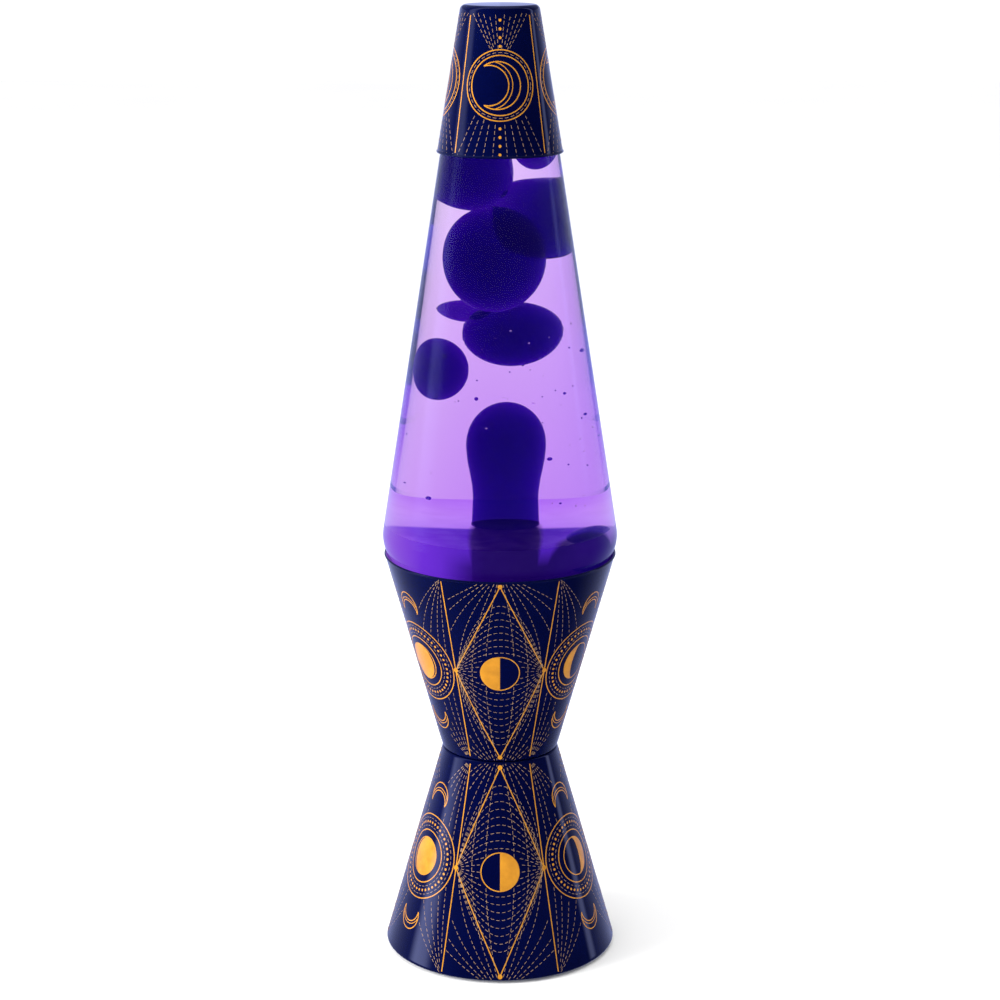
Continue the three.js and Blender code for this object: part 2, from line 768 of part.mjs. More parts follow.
function makeWaxPool() {
  const pool = insideBottle(fillInset, 0, wax.poolZ);
  const side = common(dropShape(mound), insideBottle(fillInset, 0, lampHeight));
  const wholeWax = joined([pool, columnShape(), side]);
  const coilRoom = 3.1;
  const channel = turned([
    [coil.radius - coilRoom, bottle.restZ],
    [coil.radius + coilRoom + 4, bottle.restZ],
    [coil.radius + coilRoom + 4, coilZ + coilRoom],
    [coil.radius - coilRoom, coilZ + coilRoom],
  ], LARGE_TURNS);
  addPart('wax_pool', cut(wholeWax, [channel]), materials.wax);
}

function makeLiquid() {
  const filling = insideBottle(fillInset, wax.poolZ + GAP, wax.liquidZ);
  const hollows = Object.values(drops).map((drop) => dropShape(drop, GAP));
  const vents = Object.values(drops).map(({ centre: [x, y, z] }) =>
    disc(wax.ventRadius, z, wax.liquidZ + 1, 6).translate(x, y, 0));
  const tools = [columnShape(GAP), dropShape(mound, GAP), ...hollows, ...vents];
  addPart('lamp_liquid', cut(filling, tools), materials.liquid);
}

function makeDrops() {
  Object.entries(drops).forEach(([name, drop]) => addPart(name, dropShape(drop), materials.wax));
}

// ---------------------------------------------------------------------------------------------------------
// Cap: a spun cone over the bottle's neck
// ---------------------------------------------------------------------------------------------------------

function makeTopCap() {
  const { wall, lowerRadius, lowerZ, upperRadius, edgeRadius } = cap;
  const lip = 0.3;
  const lipHeight = 1.2;
  const edge = arc(upperRadius - edgeRadius, lampHeight - edgeRadius, edgeRadius, 0, Math.PI / 2, 3);
  const profile = [
    [0, lampHeight - wall],
    [upperRadius - wall - 0.6, lampHeight - wall],
    [lowerRadius - wall, lowerZ],
    [lowerRadius + lip, lowerZ],
    [lowerRadius + lip, lowerZ + lipHeight],
    [lowerRadius - 0.15, lowerZ + lipHeight],
    ...edge,
    [0, lampHeight],
  ];
  addPart('top_cap', turned(profile, LARGE_TURNS), materials.navyPaint);
}

// ---------------------------------------------------------------------------------------------------------
// Assembly
// ---------------------------------------------------------------------------------------------------------

makeLowerCone();
makeUpperCone();
makeWaistRivets();
makeBottomCover();
makeFeet();
makeGland();
makeSocketBody();
makeSocketRing();
makeSocketShell();
makeCentreContact();
const liveTail = makeTerminal('live', socket.liveRivetX);
const neutralTail = makeTerminal('neutral', -socket.rivetX);
makeLead('live', liveTail, materials.liveSleeve);
makeLead('neutral', neutralTail, materials.neutralSleeve);
makeBulbEnvelope();
makeBulbBase();
makeBulbMount();
makeBottle();
makeClosure();
makeHeatingCoil();
makeWaxPool();
makeLiquid();
makeDrops();
makeTopCap();

export default lamp;
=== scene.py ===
import bisect
import cmath
import itertools
import json
import math
import random

import bmesh
import bpy
from mathutils import Matrix, Vector


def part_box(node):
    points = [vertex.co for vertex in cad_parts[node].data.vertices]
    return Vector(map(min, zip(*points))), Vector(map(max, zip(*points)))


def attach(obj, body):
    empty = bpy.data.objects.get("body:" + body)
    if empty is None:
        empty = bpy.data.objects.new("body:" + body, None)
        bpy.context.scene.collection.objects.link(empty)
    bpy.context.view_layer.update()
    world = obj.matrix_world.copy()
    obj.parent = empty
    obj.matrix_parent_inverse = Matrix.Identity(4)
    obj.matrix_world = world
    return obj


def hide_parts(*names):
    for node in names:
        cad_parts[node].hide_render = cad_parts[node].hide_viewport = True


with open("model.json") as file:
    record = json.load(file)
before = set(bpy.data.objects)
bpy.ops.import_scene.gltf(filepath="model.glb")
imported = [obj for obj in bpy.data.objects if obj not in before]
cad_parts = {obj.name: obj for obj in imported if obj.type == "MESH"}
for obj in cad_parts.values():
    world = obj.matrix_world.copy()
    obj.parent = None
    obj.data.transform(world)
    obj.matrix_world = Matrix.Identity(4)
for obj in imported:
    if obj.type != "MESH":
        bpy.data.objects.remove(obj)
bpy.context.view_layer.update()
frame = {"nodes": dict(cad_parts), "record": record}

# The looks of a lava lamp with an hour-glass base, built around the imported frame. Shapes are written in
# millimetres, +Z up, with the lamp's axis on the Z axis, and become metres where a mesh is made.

MM = 0.001
FINE = 192       # sides of the big turned pieces
MEDIUM = 96      # sides of the bulb and the column of wax
SMALL = 48       # sides of the feet


def box_mm(node):
    """The lowest and highest corner of a CAD node, in millimetres."""
    low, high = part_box(node)
    return low / MM, high / MM


# ---- Driving sizes, taken from the frame where it has them ----

LOWER, UPPER, CAP, BOTTLE = (box_mm(n) for n in ("lower_cone", "upper_cone", "top_cap", "glass_bottle"))
FOOT_RADIUS, FOOT_Z, WAIST_Z = LOWER[1].x, LOWER[0].z, LOWER[1].z
FLOOR_Z, RIM_Z = UPPER[0].z, UPPER[1].z
CAP_Z, TOP_Z = CAP[0].z, CAP[1].z
REST_Z, MOUTH_Z = BOTTLE[0].z, BOTTLE[1].z
WAIST_RADIUS = 22.5
RIM_RADIUS = 44.5
SHEET = 1.0
SOCKET_HOLE = 13.0
CAP_LOW_RADIUS = 23.4
CAP_TOP_RADIUS = 14.8
CAP_EDGE = 2.2
CAP_SHEET = 0.85
GLASS_WALL = 2.4
POOL_Z = 172.0
LIQUID_Z = box_mm("lamp_liquid")[1].z


# ---- Outlines: lists of (radius, height) ----


def spread(start, end, steps):
    """Even steps from one value to another, both included."""
    return [start + (end - start) * i / steps for i in range(steps + 1)]


def arc(r, z, radius, start, end, steps):
    """Points of a circle's arc about (r, z), between two angles."""
    return [(r + radius * math.cos(a), z + radius * math.sin(a)) for a in spread(start, end, steps)]


def bezier(a, b, c, d, steps):
    """Points of a cubic curve from a to d, pulled by the handles b and c."""
    points = []
    for t in spread(0.0, 1.0, steps):
        weights = ((1 - t) ** 3, 3 * t * (1 - t) ** 2, 3 * t * t * (1 - t), t ** 3)
        points.append(tuple(sum(w * p[k] for w, p in zip(weights, (a, b, c, d))) for k in (0, 1)))
    return points


def eased(before, corner, after):
    """Three points with the middle one rounded."""
    radius, steps = 0.8, 6
    here = Vector(corner)
    start, end = (here + (Vector(p) - here).normalized() * radius for p in (before, after))
    return [before] + bezier(start, start.lerp(here, 2 / 3), end.lerp(here, 2 / 3), end, steps) + [after]


def bottle_outline(inset):
    """The bottle from the middle of its floor to its mouth, drawn in by a depth."""
    ring_radius, punt_radius, punt_height, heel_radius = 31.0, 26.0, 7.5, 5.2
    seat_radius, seat_z, seat_angle, bulge_radius = 43.2, 160.3, math.radians(30), 14.2
    cone_radius, cone_z, neck_radius, neck_z = 21.25, 320.0, 12.0, 338.0
    punt = [(r, REST_Z + 0.9 + inset + punt_height * (1 - (r / punt_radius) ** 2))
            for r in spread(0.0, punt_radius, 9)]
    heel = arc(ring_radius, REST_Z + heel_radius, heel_radius - inset, -math.pi / 2, -0.35, 10)
    seat = (seat_radius - inset * math.cos(seat_angle), seat_z + inset * math.sin(seat_angle))
    low = heel[-1]
    rise = bezier(low, (low[0] + 1.8, 149), (seat[0] - 2.6, seat[1] - 4.5), seat, 12)
    centre = (seat_radius - bulge_radius * math.cos(seat_angle),
              seat_z + bulge_radius * math.sin(seat_angle))
    taper = math.atan((seat_radius - cone_radius) / (cone_z - seat_z)) * 1.05
    bulge = arc(*centre, bulge_radius - inset, -seat_angle, taper, 16)
    top, neck = (cone_radius - inset, cone_z), (neck_radius - inset, neck_z)
    shoulder = bezier(top, (top[0] - 0.8, top[1] + 6.5), (neck[0], neck[1] - 7), neck, 14)
    return punt + heel + rise[1:] + bulge[1:] + shoulder


def between(outline, low_z, high_z):
    """The rising stretch of an outline between two heights, with points set exactly on both."""
    points = []
    for (r0, z0), (r1, z1) in zip(outline, outline[1:]):
        if z1 <= z0 or z1 < low_z or z0 > high_z:
            continue
        for z in (max(z0, low_z), min(z1, high_z)):
            point = (r0 + (r1 - r0) * (z - z0) / (z1 - z0), z)
            if not points or math.dist(point, points[-1]) > 1e-4:
                points.append(point)
    return points


# ---- Meshes ----


def turned(outline, sides, ripple=None):
    """Vertices and faces of a solid of revolution whose outline ends on the axis or closes on itself."""
    vertices, rings = [], []
    for r, z in outline:
        count = sides if r > 1e-6 else 1
        rings.append([len(vertices) + i % count for i in range(sides)])
        for i in range(count):
            angle = 2 * math.pi * i / sides
            radius = r + (ripple(angle, r, z) if ripple else 0.0)
            vertices.append((radius * math.cos(angle), radius * math.sin(angle), z))
    pairs = list(zip(rings, rings[1:]))
    if outline[0][0] > 1e-6:
        pairs.append((rings[-1], rings[0]))
    faces = []
    for low, high in pairs:
        for i in range(sides):
            k = (i + 1) % sides
            face = tuple(dict.fromkeys((low[i], low[k], high[k], high[i])))
            if len(face) > 2:
                faces.append(face)
    return vertices, faces


def placed(shape, matrix):
    """The shape moved by a matrix given in millimetres."""
    vertices, faces = shape
    return [tuple(matrix @ Vector(v)) for v in vertices], faces


def swept(route, radius, sides, leans=None, closed=False):
    """A round wire along a list of points. A point's lean is a direction that its section keeps to."""
    points = [Vector(p) for p in route]
    count = len(points)
    vertices, faces = [], []
    for i, point in enumerate(points):
        ahead = points[(i + 1) % count] if closed or i < count - 1 else point
        behind = points[i - 1] if closed or i > 0 else point
        along = (ahead - behind).normalized()
        hint = leans[i] if leans else Vector((0.3, 1.0, 0.2))
        side = (hint - along * hint.dot(along)).normalized()
        up = along.cross(side)
        for k in range(sides):
            angle = 2 * math.pi * k / sides
            vertices.append(tuple(point + radius * (side * math.cos(angle) + up * math.sin(angle))))
    for i in range(count if closed else count - 1):
        here, there = i * sides, ((i + 1) % count) * sides
        for k in range(sides):
            nxt = (k + 1) % sides
            faces.append((here + k, here + nxt, there + nxt, there + k))
    if not closed:
        faces.append(tuple(reversed(range(sides))))
        faces.append(tuple(range((count - 1) * sides, count * sides)))
    return vertices, faces


def in_scene(name, data):
    """A new object in the scene."""
    thing = bpy.data.objects.new(name, data)
    bpy.context.scene.collection.objects.link(thing)
    return thing


def make_piece(name, shape, body, slot, stands_for=(), sharp=32, material=None):
    """A piece that rides on a body, from vertices in millimetres and faces.

    Its finish is its slot's, unless another material is given.
    """
    vertices, faces = shape
    mesh = bpy.data.meshes.new(name)
    mesh.from_pydata([[c * MM for c in v] for v in vertices], [], faces)
    solid = bmesh.new()
    solid.from_mesh(mesh)
    bmesh.ops.recalc_face_normals(solid, faces=solid.faces)
    solid.to_mesh(mesh)
    solid.free()
    mesh.shade_smooth()
    mesh.set_sharp_from_angle(angle=math.radians(sharp))
    mesh.materials.append(material or FINISHES[slot])
    piece = in_scene(name, mesh)
    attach(piece, body)
    if stands_for:
        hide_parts(*stands_for)
    return piece


# ---- Materials ----


class Nodes:
    """Short calls that add to a node tree. A value is a number or another node's output."""

    def __init__(self, tree):
        self.tree = tree

    def put(self, value, node_input):
        if isinstance(value, bpy.types.NodeSocket):
            self.tree.links.new(value, node_input)
        else:
            node_input.default_value = value

    def add(self, kind, **values):
        node = self.tree.nodes.new(kind)
        for key, value in values.items():
            if hasattr(node, key):
                setattr(node, key, value)
            else:
                self.put(value, node.inputs[key.replace("_", " ")])
        return node

    def math(self, operation, *values):
        node = self.add("ShaderNodeMath", operation=operation)
        for value, node_input in zip(values, node.inputs):
            self.put(value, node_input)
        return node.outputs[0]

    def times(self, first, second):
        return self.math("MULTIPLY", first, second)

    def axis(self, place, name):
        return self.add("ShaderNodeSeparateXYZ", Vector=place).outputs[name]

    def span(self, value, start, end, low=0.0, high=1.0, kind="LINEAR"):
        """Goes from low to high as the value goes from start to end."""
        node = self.add("ShaderNodeMapRange", interpolation_type=kind, Value=value,
                        From_Min=start, From_Max=end, To_Min=low, To_Max=high)
        return node.outputs["Result"]

    def mixed(self, factor, first, second):
        node = self.add("ShaderNodeMix", data_type="RGBA", Factor=factor)
        self.put(first, node.inputs["A"])
        self.put(second, node.inputs["B"])
        return node.outputs["Result"]


class Finish(Nodes):
    """A Principled material with short calls for the patterns that vary it."""

    def __init__(self, name, **sockets):
        self.material = bpy.data.materials.new(name)
        self.material.use_nodes = True
        super().__init__(self.material.node_tree)
        self.shader = self.tree.nodes["Principled BSDF"]
        self.place = self.add("ShaderNodeTexCoord").outputs["Object"]
        self.set(**sockets)

    def set(self, **sockets):
        for key, value in sockets.items():
            self.put(value, self.shader.inputs[key.replace("_", " ")])

    def noise(self, scale, detail=3.0, stretch=(1.0, 1.0, 1.0)):
        """Clouds of a size of about 1 / scale metres, from 0 to 1."""
        place = self.add("ShaderNodeMapping", Vector=self.place, Scale=stretch).outputs["Vector"]
        return self.add("ShaderNodeTexNoise", Vector=place, Scale=scale, Detail=detail).outputs["Fac"]

    def tones(self, value, stops):
        """Colours placed along a value."""
        low, high = stops[0][0], stops[-1][0]
        node = self.add("ShaderNodeValToRGB", Fac=self.span(value, low, high))
        elements = node.color_ramp.elements
        while len(elements) < len(stops):
            elements.new(0.5)
        for element, (where, tone) in zip(elements, stops):
            element.position = (where - low) / (high - low)
            element.color = (*tone, 1.0)
        return node.outputs["Color"]

    def near(self, centre, reach, soft):
        """1 inside an ellipsoid given in millimetres and 0 outside it, with a soft edge."""
        place = self.add("ShaderNodeMapping", vector_type="TEXTURE", Vector=self.place,
                         Location=[c * MM for c in centre], Scale=[r * MM for r in reach])
        length = self.add("ShaderNodeVectorMath", operation="LENGTH", Vector=place.outputs["Vector"])
        return self.span(length.outputs["Value"], 1 + soft, 1 - soft)

    def warped(self, axis, scale, reach):
        """A coordinate in metres, pushed about by clouds."""
        push = self.math("MULTIPLY_ADD", self.noise(scale), reach, -reach / 2)
        return self.math("ADD", self.axis(self.place, axis), push)

    def colour(self, clouds, dark, light):
        """Colours the piece in clouds, which change tone over the middle third of their range."""
        self.set(Base_Color=self.tones(clouds, ((0.35, dark), (0.65, light))))

    def rough(self, clouds, low, high):
        self.set(Roughness=self.span(clouds, 0.35, 0.65, low, high))

    def bump(self, clouds, strength, depth_mm):
        node = self.add("ShaderNodeBump", Strength=strength, Distance=depth_mm * MM, Height=clouds)
        self.set(Normal=node.outputs["Normal"])

    def absorb(self, colour, density):
        """Fills the piece with something clear that takes up the other colours."""
        node = self.add("ShaderNodeVolumeAbsorption", Color=(*colour, 1.0), Density=density)
        self.put(node.outputs["Volume"], self.tree.nodes["Material Output"].inputs["Volume"])


FAINT = (0.05, 0.05, 0.07, 1.0)     # weakens what clear surfaces mirror, as the room round the lamp is white


def navy_lacquer():
    """Navy paint under a hard clear coat: a little cloudy in depth, with a trace of orange peel."""
    finish = Finish("navy_lacquer", Coat_Weight=1.0, Coat_Roughness=0.04, Specular_IOR_Level=0.0)
    finish.colour(finish.noise(30), (0.0003, 0.0011, 0.021), (0.0005, 0.0018, 0.03))
    finish.rough(finish.noise(350), 0.3, 0.45)
    finish.bump(finish.noise(400, detail=1.0), 0.05, 0.01)
    return finish.material


def ink(name, metallic, scale, dark, light, grain):
    """Ink under the same coat: uneven in tone and sheen, and with or without a fine grain."""
    finish = Finish(name, Metallic=metallic, Coat_Weight=1.0, Coat_Roughness=0.05)
    finish.colour(finish.noise(scale), dark, light)
    finish.rough(finish.noise(1500), 0.4, 0.55)
    if grain:
        finish.bump(finish.noise(3000, detail=1.0), grain, 0.005)
    return finish.material


def clear(name, ior, scale, tint, mirrors=(1, 1, 1, 1)):
    """Something clear, with faint clouds of a tint."""
    finish = Finish(name, Roughness=0.0, IOR=ior, Transmission_Weight=1.0, Specular_Tint=mirrors)
    finish.colour(finish.noise(scale), tint, (1.0, 1.0, 1.0))
    return finish


def bottle_glass():
    """Clear glass with a very slight ripple."""
    finish = clear("bottle_glass", 1.46, 12, (0.985, 0.985, 0.995), FAINT)
    finish.bump(finish.noise(25, detail=1.0), 0.05, 0.05)
    return finish.material


def violet_liquid():
    """Clear liquid that takes up green and red light on the way through."""
    finish = clear("violet_liquid", 1.35, 10, (0.99, 0.985, 1.0), FAINT)
    finish.absorb((0.6, 0.15, 0.9), 20.0)
    return finish.material


def indigo_wax_painted_glow():
    """Translucent wax: light passes at its thin edges and is taken up in its depth, and a faint painted glow
    of emission lights it.
    """
    finish = Finish("indigo_wax_painted_glow", IOR=1.03, Transmission_Weight=1.0, Specular_Tint=FAINT)
    # Painted light: a faint violet glow, though the wax is no lamp.
    finish.set(Emission_Color=(0.0022, 0.0003, 0.036, 1.0), Emission_Strength=1.0)
    finish.colour(finish.noise(45), (0.11, 0.028, 0.38), (0.145, 0.04, 0.45))
    finish.rough(finish.noise(120), 0.0, 0.06)
    finish.absorb((0.45, 0.02, 0.76), 250.0)
    return finish.material


def violet_bed_painted_light():
    """The pool's wax, painted to glow with the light that passes through it, with painted shade by the
    column and mound.
    """
    finish = Finish("violet_bed_painted_light", Specular_IOR_Level=0.05, Emission_Strength=1.1)
    far = 1e4
    across, depth = finish.warped("X", 40, 0.004), finish.warped("Y", 60, 0.003)
    back, rise = finish.axis(finish.place, "Y"), finish.axis(finish.place, "Z")
    # Painted light: the glow of the pool's sides, brightest at the left edge, lighter again at the right and
    # darkest near the middle.
    lit = finish.tones(across, (
        (-0.041, (0.26, 0.085, 0.66)), (-0.028, (0.14, 0.026, 0.6)), (-0.014, (0.085, 0.015, 0.46)),
        (0.012, (0.055, 0.01, 0.36)), (0.03, (0.07, 0.014, 0.42)), (0.041, (0.2, 0.1, 0.48))))
    # Painted shadow: the tones where the column and the mound shade the pool.
    shadow = finish.tones(across, (
        (-0.02, (0.03, 0.004, 0.2)), (-0.006, (0.009, 0.0006, 0.085)), (0.01, (0.006, 0.0004, 0.066)),
        (0.022, (0.007, 0.0005, 0.085)), (0.038, (0.012, 0.001, 0.12))))
    # Painted backlight: the pool's top glows pale lilac, paler towards the back.
    painted_backlight = finish.tones(back, (
        (-0.01, (0.43, 0.23, 0.78)), (0.004, (0.55, 0.35, 0.84)), (0.018, (0.65, 0.45, 0.88)),
        (0.042, (0.69, 0.49, 0.91))))
    # Where the top's painted backlight replaces the sides' painted glow: the top surface, from a little in
    # front of the middle to the back.
    upper = finish.span(rise, (POOL_Z - 0.5) * MM, (POOL_Z - 0.1) * MM)
    behind = finish.times(upper, finish.span(depth, -0.009, -0.006))
    in_front = finish.span(back, 0.001, -0.001)
    # Painted shade: a strip in front of the column, a patch round its foot, a patch by the mound, and the
    # lower sides from just left of the column rightwards.
    painted_shade_before_column = finish.times(finish.near((1.8, -42, 0), (12.6, 60, far), 0.07), in_front)
    painted_shade_by_column = finish.math("MAXIMUM", painted_shade_before_column, finish.near((1.5, 0, 0), (9.4, 9.4, far), 0.03))
    painted_shade_by_mound = finish.near((34, -34, 157.5), (20.0, 26.0, 19.5), 0.05)
    low = finish.times(finish.span(rise, 0.1712, 0.1655), finish.span(across, -0.0215, -0.0085))
    dark = finish.math("MAXIMUM", painted_shade_by_column, finish.math("MAXIMUM", painted_shade_by_mound, low))
    # The emission carries the painted glow, the painted backlight and the painted shadow.
    finish.set(Emission_Color=finish.mixed(dark, finish.mixed(behind, lit, painted_backlight), shadow))
    finish.colour(finish.noise(45), (0.006, 0.001, 0.04), (0.012, 0.002, 0.07))
    finish.rough(finish.noise(120), 0.35, 0.5)
    finish.bump(finish.noise(90, detail=1.5), 0.05, 0.1)
    return finish.material


def bare_aluminium():
    """Spun aluminium: fine rings of tool marks round the axis."""
    finish = Finish("bare_aluminium", Metallic=1.0)
    rings = finish.noise(60, detail=4.0, stretch=(1.0, 1.0, 60.0))
    finish.colour(rings, (0.52, 0.52, 0.51), (0.7, 0.7, 0.69))
    finish.rough(rings, 0.28, 0.46)
    finish.bump(rings, 0.2, 0.02)
    return finish.material


def metal(name, dark, light, roughness=(0.22, 0.42), scale=500):
    """Plain metal with a slightly mottled tone and wear."""
    finish = Finish(name, Metallic=1.0)
    cloud = finish.noise(scale)
    finish.colour(cloud, dark, light)
    finish.rough(cloud, *roughness)
    finish.bump(finish.noise(scale * 5, detail=1.0), 0.1, 0.02)
    return finish.material


def moulded(name, dark, light, roughness=(0.4, 0.6)):
    """Moulded plastic or rubber with a fine grain."""
    finish = Finish(name)
    finish.colour(finish.noise(200), dark, light)
    finish.rough(finish.noise(700), *roughness)
    finish.bump(finish.noise(1800, detail=1.0), 0.3, 0.03)
    return finish.material


GOLD = ink("gold_print", 0.15, 260, (0.52, 0.205, 0.003), (0.64, 0.265, 0.007), grain=0.1)
PALE = ink("pale_print", 0.1, 300, (0.25, 0.145, 0.075), (0.37, 0.225, 0.12), grain=0.0)
# The pool's wax finish, with painted glow and painted shade.
PAINTED_LIGHT_BED = violet_bed_painted_light()
AIR = clear("air_bubble", 0.74, 90, (0.96, 0.95, 1.0)).material
ALUMINIUM = bare_aluminium()

# Finishes by the record's material slots. A metal or moulded one has a dark and a light tone first
FINISHES = {
    "printed_navy": navy_lacquer(),
    "bottle_glass": bottle_glass(),
    "liquid": violet_liquid(),
    "wax": indigo_wax_painted_glow(),
    "bulb_glass": clear("bulb_glass", 1.45, 40, (0.97, 0.98, 0.985)).material,
}
METALS = {
    "steel": ((0.36, 0.36, 0.35), (0.52, 0.52, 0.5)),
    "contact_brass": ((0.52, 0.34, 0.1), (0.72, 0.5, 0.18)),
    "bulb_brass": ((0.6, 0.46, 0.22), (0.78, 0.64, 0.36), (0.18, 0.34)),
    "solder": ((0.4, 0.4, 0.41), (0.58, 0.58, 0.58), (0.35, 0.6), 900),
    "coil_wire": ((0.42, 0.41, 0.39), (0.6, 0.59, 0.56)),
    "closure_metal": ((0.5, 0.5, 0.49), (0.66, 0.65, 0.63), (0.25, 0.4), 120),
    "lead_wire": ((0.38, 0.38, 0.37), (0.5, 0.5, 0.49)),
    "filament_wire": ((0.08, 0.075, 0.07), (0.16, 0.15, 0.14)),
}
MOULDED = {
    "phenolic": ((0.01, 0.007, 0.005), (0.018, 0.013, 0.01), (0.3, 0.48)),
    "black_plastic": ((0.01, 0.01, 0.012), (0.018, 0.018, 0.02)),
    "foot_rubber": ((0.014, 0.014, 0.015), (0.026, 0.026, 0.027), (0.7, 0.9)),
    "black_glass": ((0.006, 0.006, 0.01), (0.012, 0.012, 0.016), (0.08, 0.18)),
    "liner": ((0.66, 0.64, 0.58), (0.78, 0.76, 0.7), (0.6, 0.8)),
    "black_sleeve": ((0.011, 0.011, 0.012), (0.018, 0.018, 0.019)),
    "white_sleeve": ((0.66, 0.64, 0.6), (0.76, 0.74, 0.7)),
    "connector_nylon": ((0.6, 0.58, 0.52), (0.72, 0.7, 0.64), (0.35, 0.5)),
}
FINISHES.update({slot: metal(slot, *look) for slot, look in METALS.items()})
FINISHES.update({slot: moulded(slot, *look) for slot, look in MOULDED.items()})


# ---- Base cones and cap ----

# The straight outer face of each cone, from its narrow end to its wide end
CAP_TILT = math.atan((CAP_LOW_RADIUS - CAP_TOP_RADIUS) / (TOP_Z - CAP_EDGE - CAP_Z))
CAP_CENTRE = (CAP_TOP_RADIUS - CAP_EDGE, TOP_Z - CAP_EDGE)
CAP_SHOULDER = tuple(c + CAP_EDGE * f(CAP_TILT) for c, f in zip(CAP_CENTRE, (math.cos, math.sin)))
LOWER_FACE = ((WAIST_RADIUS, WAIST_Z), (FOOT_RADIUS, FOOT_Z))
UPPER_FACE = ((WAIST_RADIUS, FLOOR_Z), (RIM_RADIUS, RIM_Z))
CAP_FACE = (CAP_SHOULDER, (CAP_LOW_RADIUS, CAP_Z))


def on_face(face, z):
    """The point of a cone's outer face at a height."""
    (r0, z0), (r1, z1) = face
    return (r0 + (r1 - r0) * (z - z0) / (z1 - z0), z)


def make_shell(name, outline, body, node, bare):
    """A lacquered shell, bare metal inside and where bare(upward part of the normal, height) is true."""
    piece = make_piece(name, turned(outline, FINE), body, "printed_navy", [node])
    piece.data.materials.append(ALUMINIUM)
    for face in piece.data.polygons:
        centre = face.center / MM
        outward = Vector((centre.x, centre.y, 0)).normalized()
        if face.normal.dot(outward) < -0.1 or bare(face.normal.z, centre.z):
            face.material_index = 1


def make_lower_cone():
    """Drawn cone with a rolled hem at the foot, a small radius at the waist and a flat ceiling."""
    ceiling = WAIST_Z - SHEET
    hem, hem_top = 1.1, FOOT_Z + 2.4
    foot_r, foot_z = on_face(LOWER_FACE, FOOT_Z + hem)
    outer_hem = arc(foot_r - hem, foot_z, hem, 0.2, -math.pi, 14)
    inner_foot = on_face(LOWER_FACE, hem_top + 1.2)[0] - SHEET
    outside = eased((SOCKET_HOLE, WAIST_Z), LOWER_FACE[0], on_face(LOWER_FACE, foot_z + 0.6))
    inside = [(inner_foot - 0.4, hem_top), (inner_foot, hem_top + 1.2), (WAIST_RADIUS - SHEET, ceiling),
              (SOCKET_HOLE, ceiling)]
    make_shell("lower_cone_shell", outside + outer_hem + inside, "base", "lower_cone",
               lambda up, z: up < -0.9 and z > ceiling - 1)


def make_upper_cone():
    """The same drawing upside down, its rim rolled into a small bead."""
    floor, bead = FLOOR_Z + SHEET, 0.45
    rolled = arc(RIM_RADIUS - 0.3, RIM_Z - bead, bead, -math.pi * 0.42, math.pi * 0.8, 14)
    outside = eased((SOCKET_HOLE, FLOOR_Z), UPPER_FACE[0], on_face(UPPER_FACE, RIM_Z - 1.3))
    inside_top = on_face(UPPER_FACE, RIM_Z - 1.8)[0] - SHEET
    inside = eased((inside_top, RIM_Z - 1.8), (WAIST_RADIUS - SHEET + 0.3, floor), (SOCKET_HOLE, floor))
    make_shell("upper_cone_shell", outside + rolled + inside, "base", "upper_cone",
               lambda up, z: up > 0.9 and z < floor + 1)


def make_cap():
    """Spun cone with a rounded top edge and a small rolled lip."""
    lip = 0.45
    rolled = arc(CAP_LOW_RADIUS - 0.2, CAP_Z + lip, lip, -math.pi / 2, math.pi * 0.4, 8)
    edge = arc(*CAP_CENTRE, CAP_EDGE, CAP_TILT, math.pi / 2, 14)
    inner_edge = arc(*CAP_CENTRE, CAP_EDGE - CAP_SHEET, math.pi / 2, CAP_TILT, 6)
    outline = [(0.0, TOP_Z - CAP_SHEET)] + inner_edge + [(CAP_LOW_RADIUS - CAP_SHEET, CAP_Z)] + rolled
    outline += [on_face(CAP_FACE, CAP_Z + 1.2)] + edge + [(0.0, TOP_Z)]
    make_shell("cap_shell", outline, "cap", "top_cap", lambda up, z: up < -0.5 and z > TOP_Z - 3)


# ---- Print: thin patches of ink, laid out on the flat pattern of a cone and rolled up with it ----

# A flat point is a complex number in millimetres. Its real part is to the side of a chosen line up the cone,
# and its imaginary part is along that line from the cone's narrow end.

LINE, THIN, HAIR = 0.4, 0.3, 0.18     # widths of the printed lines


class Skin:
    """The outer face of a cone from its narrow end to its wide end, unrolled into a flat pattern."""

    def __init__(self, narrow, wide, turn):
        (narrow_radius, self.narrow_z), (wide_radius, wide_z) = narrow, wide
        self.length = math.dist(narrow, wide)
        self.sine = (wide_radius - narrow_radius) / self.length
        self.rise = (wide_z - self.narrow_z) / self.length
        self.start = narrow_radius / self.sine
        self.turn = turn

    def polar(self, angle, along):
        """The flat point at an angle in degrees round the cone and a distance from its narrow end."""
        sweep = math.radians(angle) * self.sine
        return (self.start + along) * complex(math.sin(sweep), math.cos(sweep)) - 1j * self.start

    def from_tip(self, flat):
        """A flat point's distance from the cone's tip, and its angle round the cone in radians."""
        way = flat + 1j * self.start
        return abs(way), math.atan2(way.real, way.imag) / self.sine

    def holds(self, flat, margin):
        return margin <= self.from_tip(flat)[0] - self.start <= self.length - margin

    def angle(self, flat):
        """How far round the cone, in degrees, a flat point is from the chosen line."""
        return math.degrees(abs(self.from_tip(flat)[1]))

    def point(self, flat, base_angle, lift):
        """Where a flat point is when the pattern is rolled up, lifted off the cone's face."""
        reach, around = self.from_tip(flat)
        angle = math.radians(base_angle) + self.turn * around
        radius = reach * self.sine + lift * abs(self.rise)
        z = self.narrow_z + (reach - self.start) * self.rise - lift * self.sine * math.copysign(1, self.rise)
        return (radius * math.sin(angle), -radius * math.cos(angle), z)


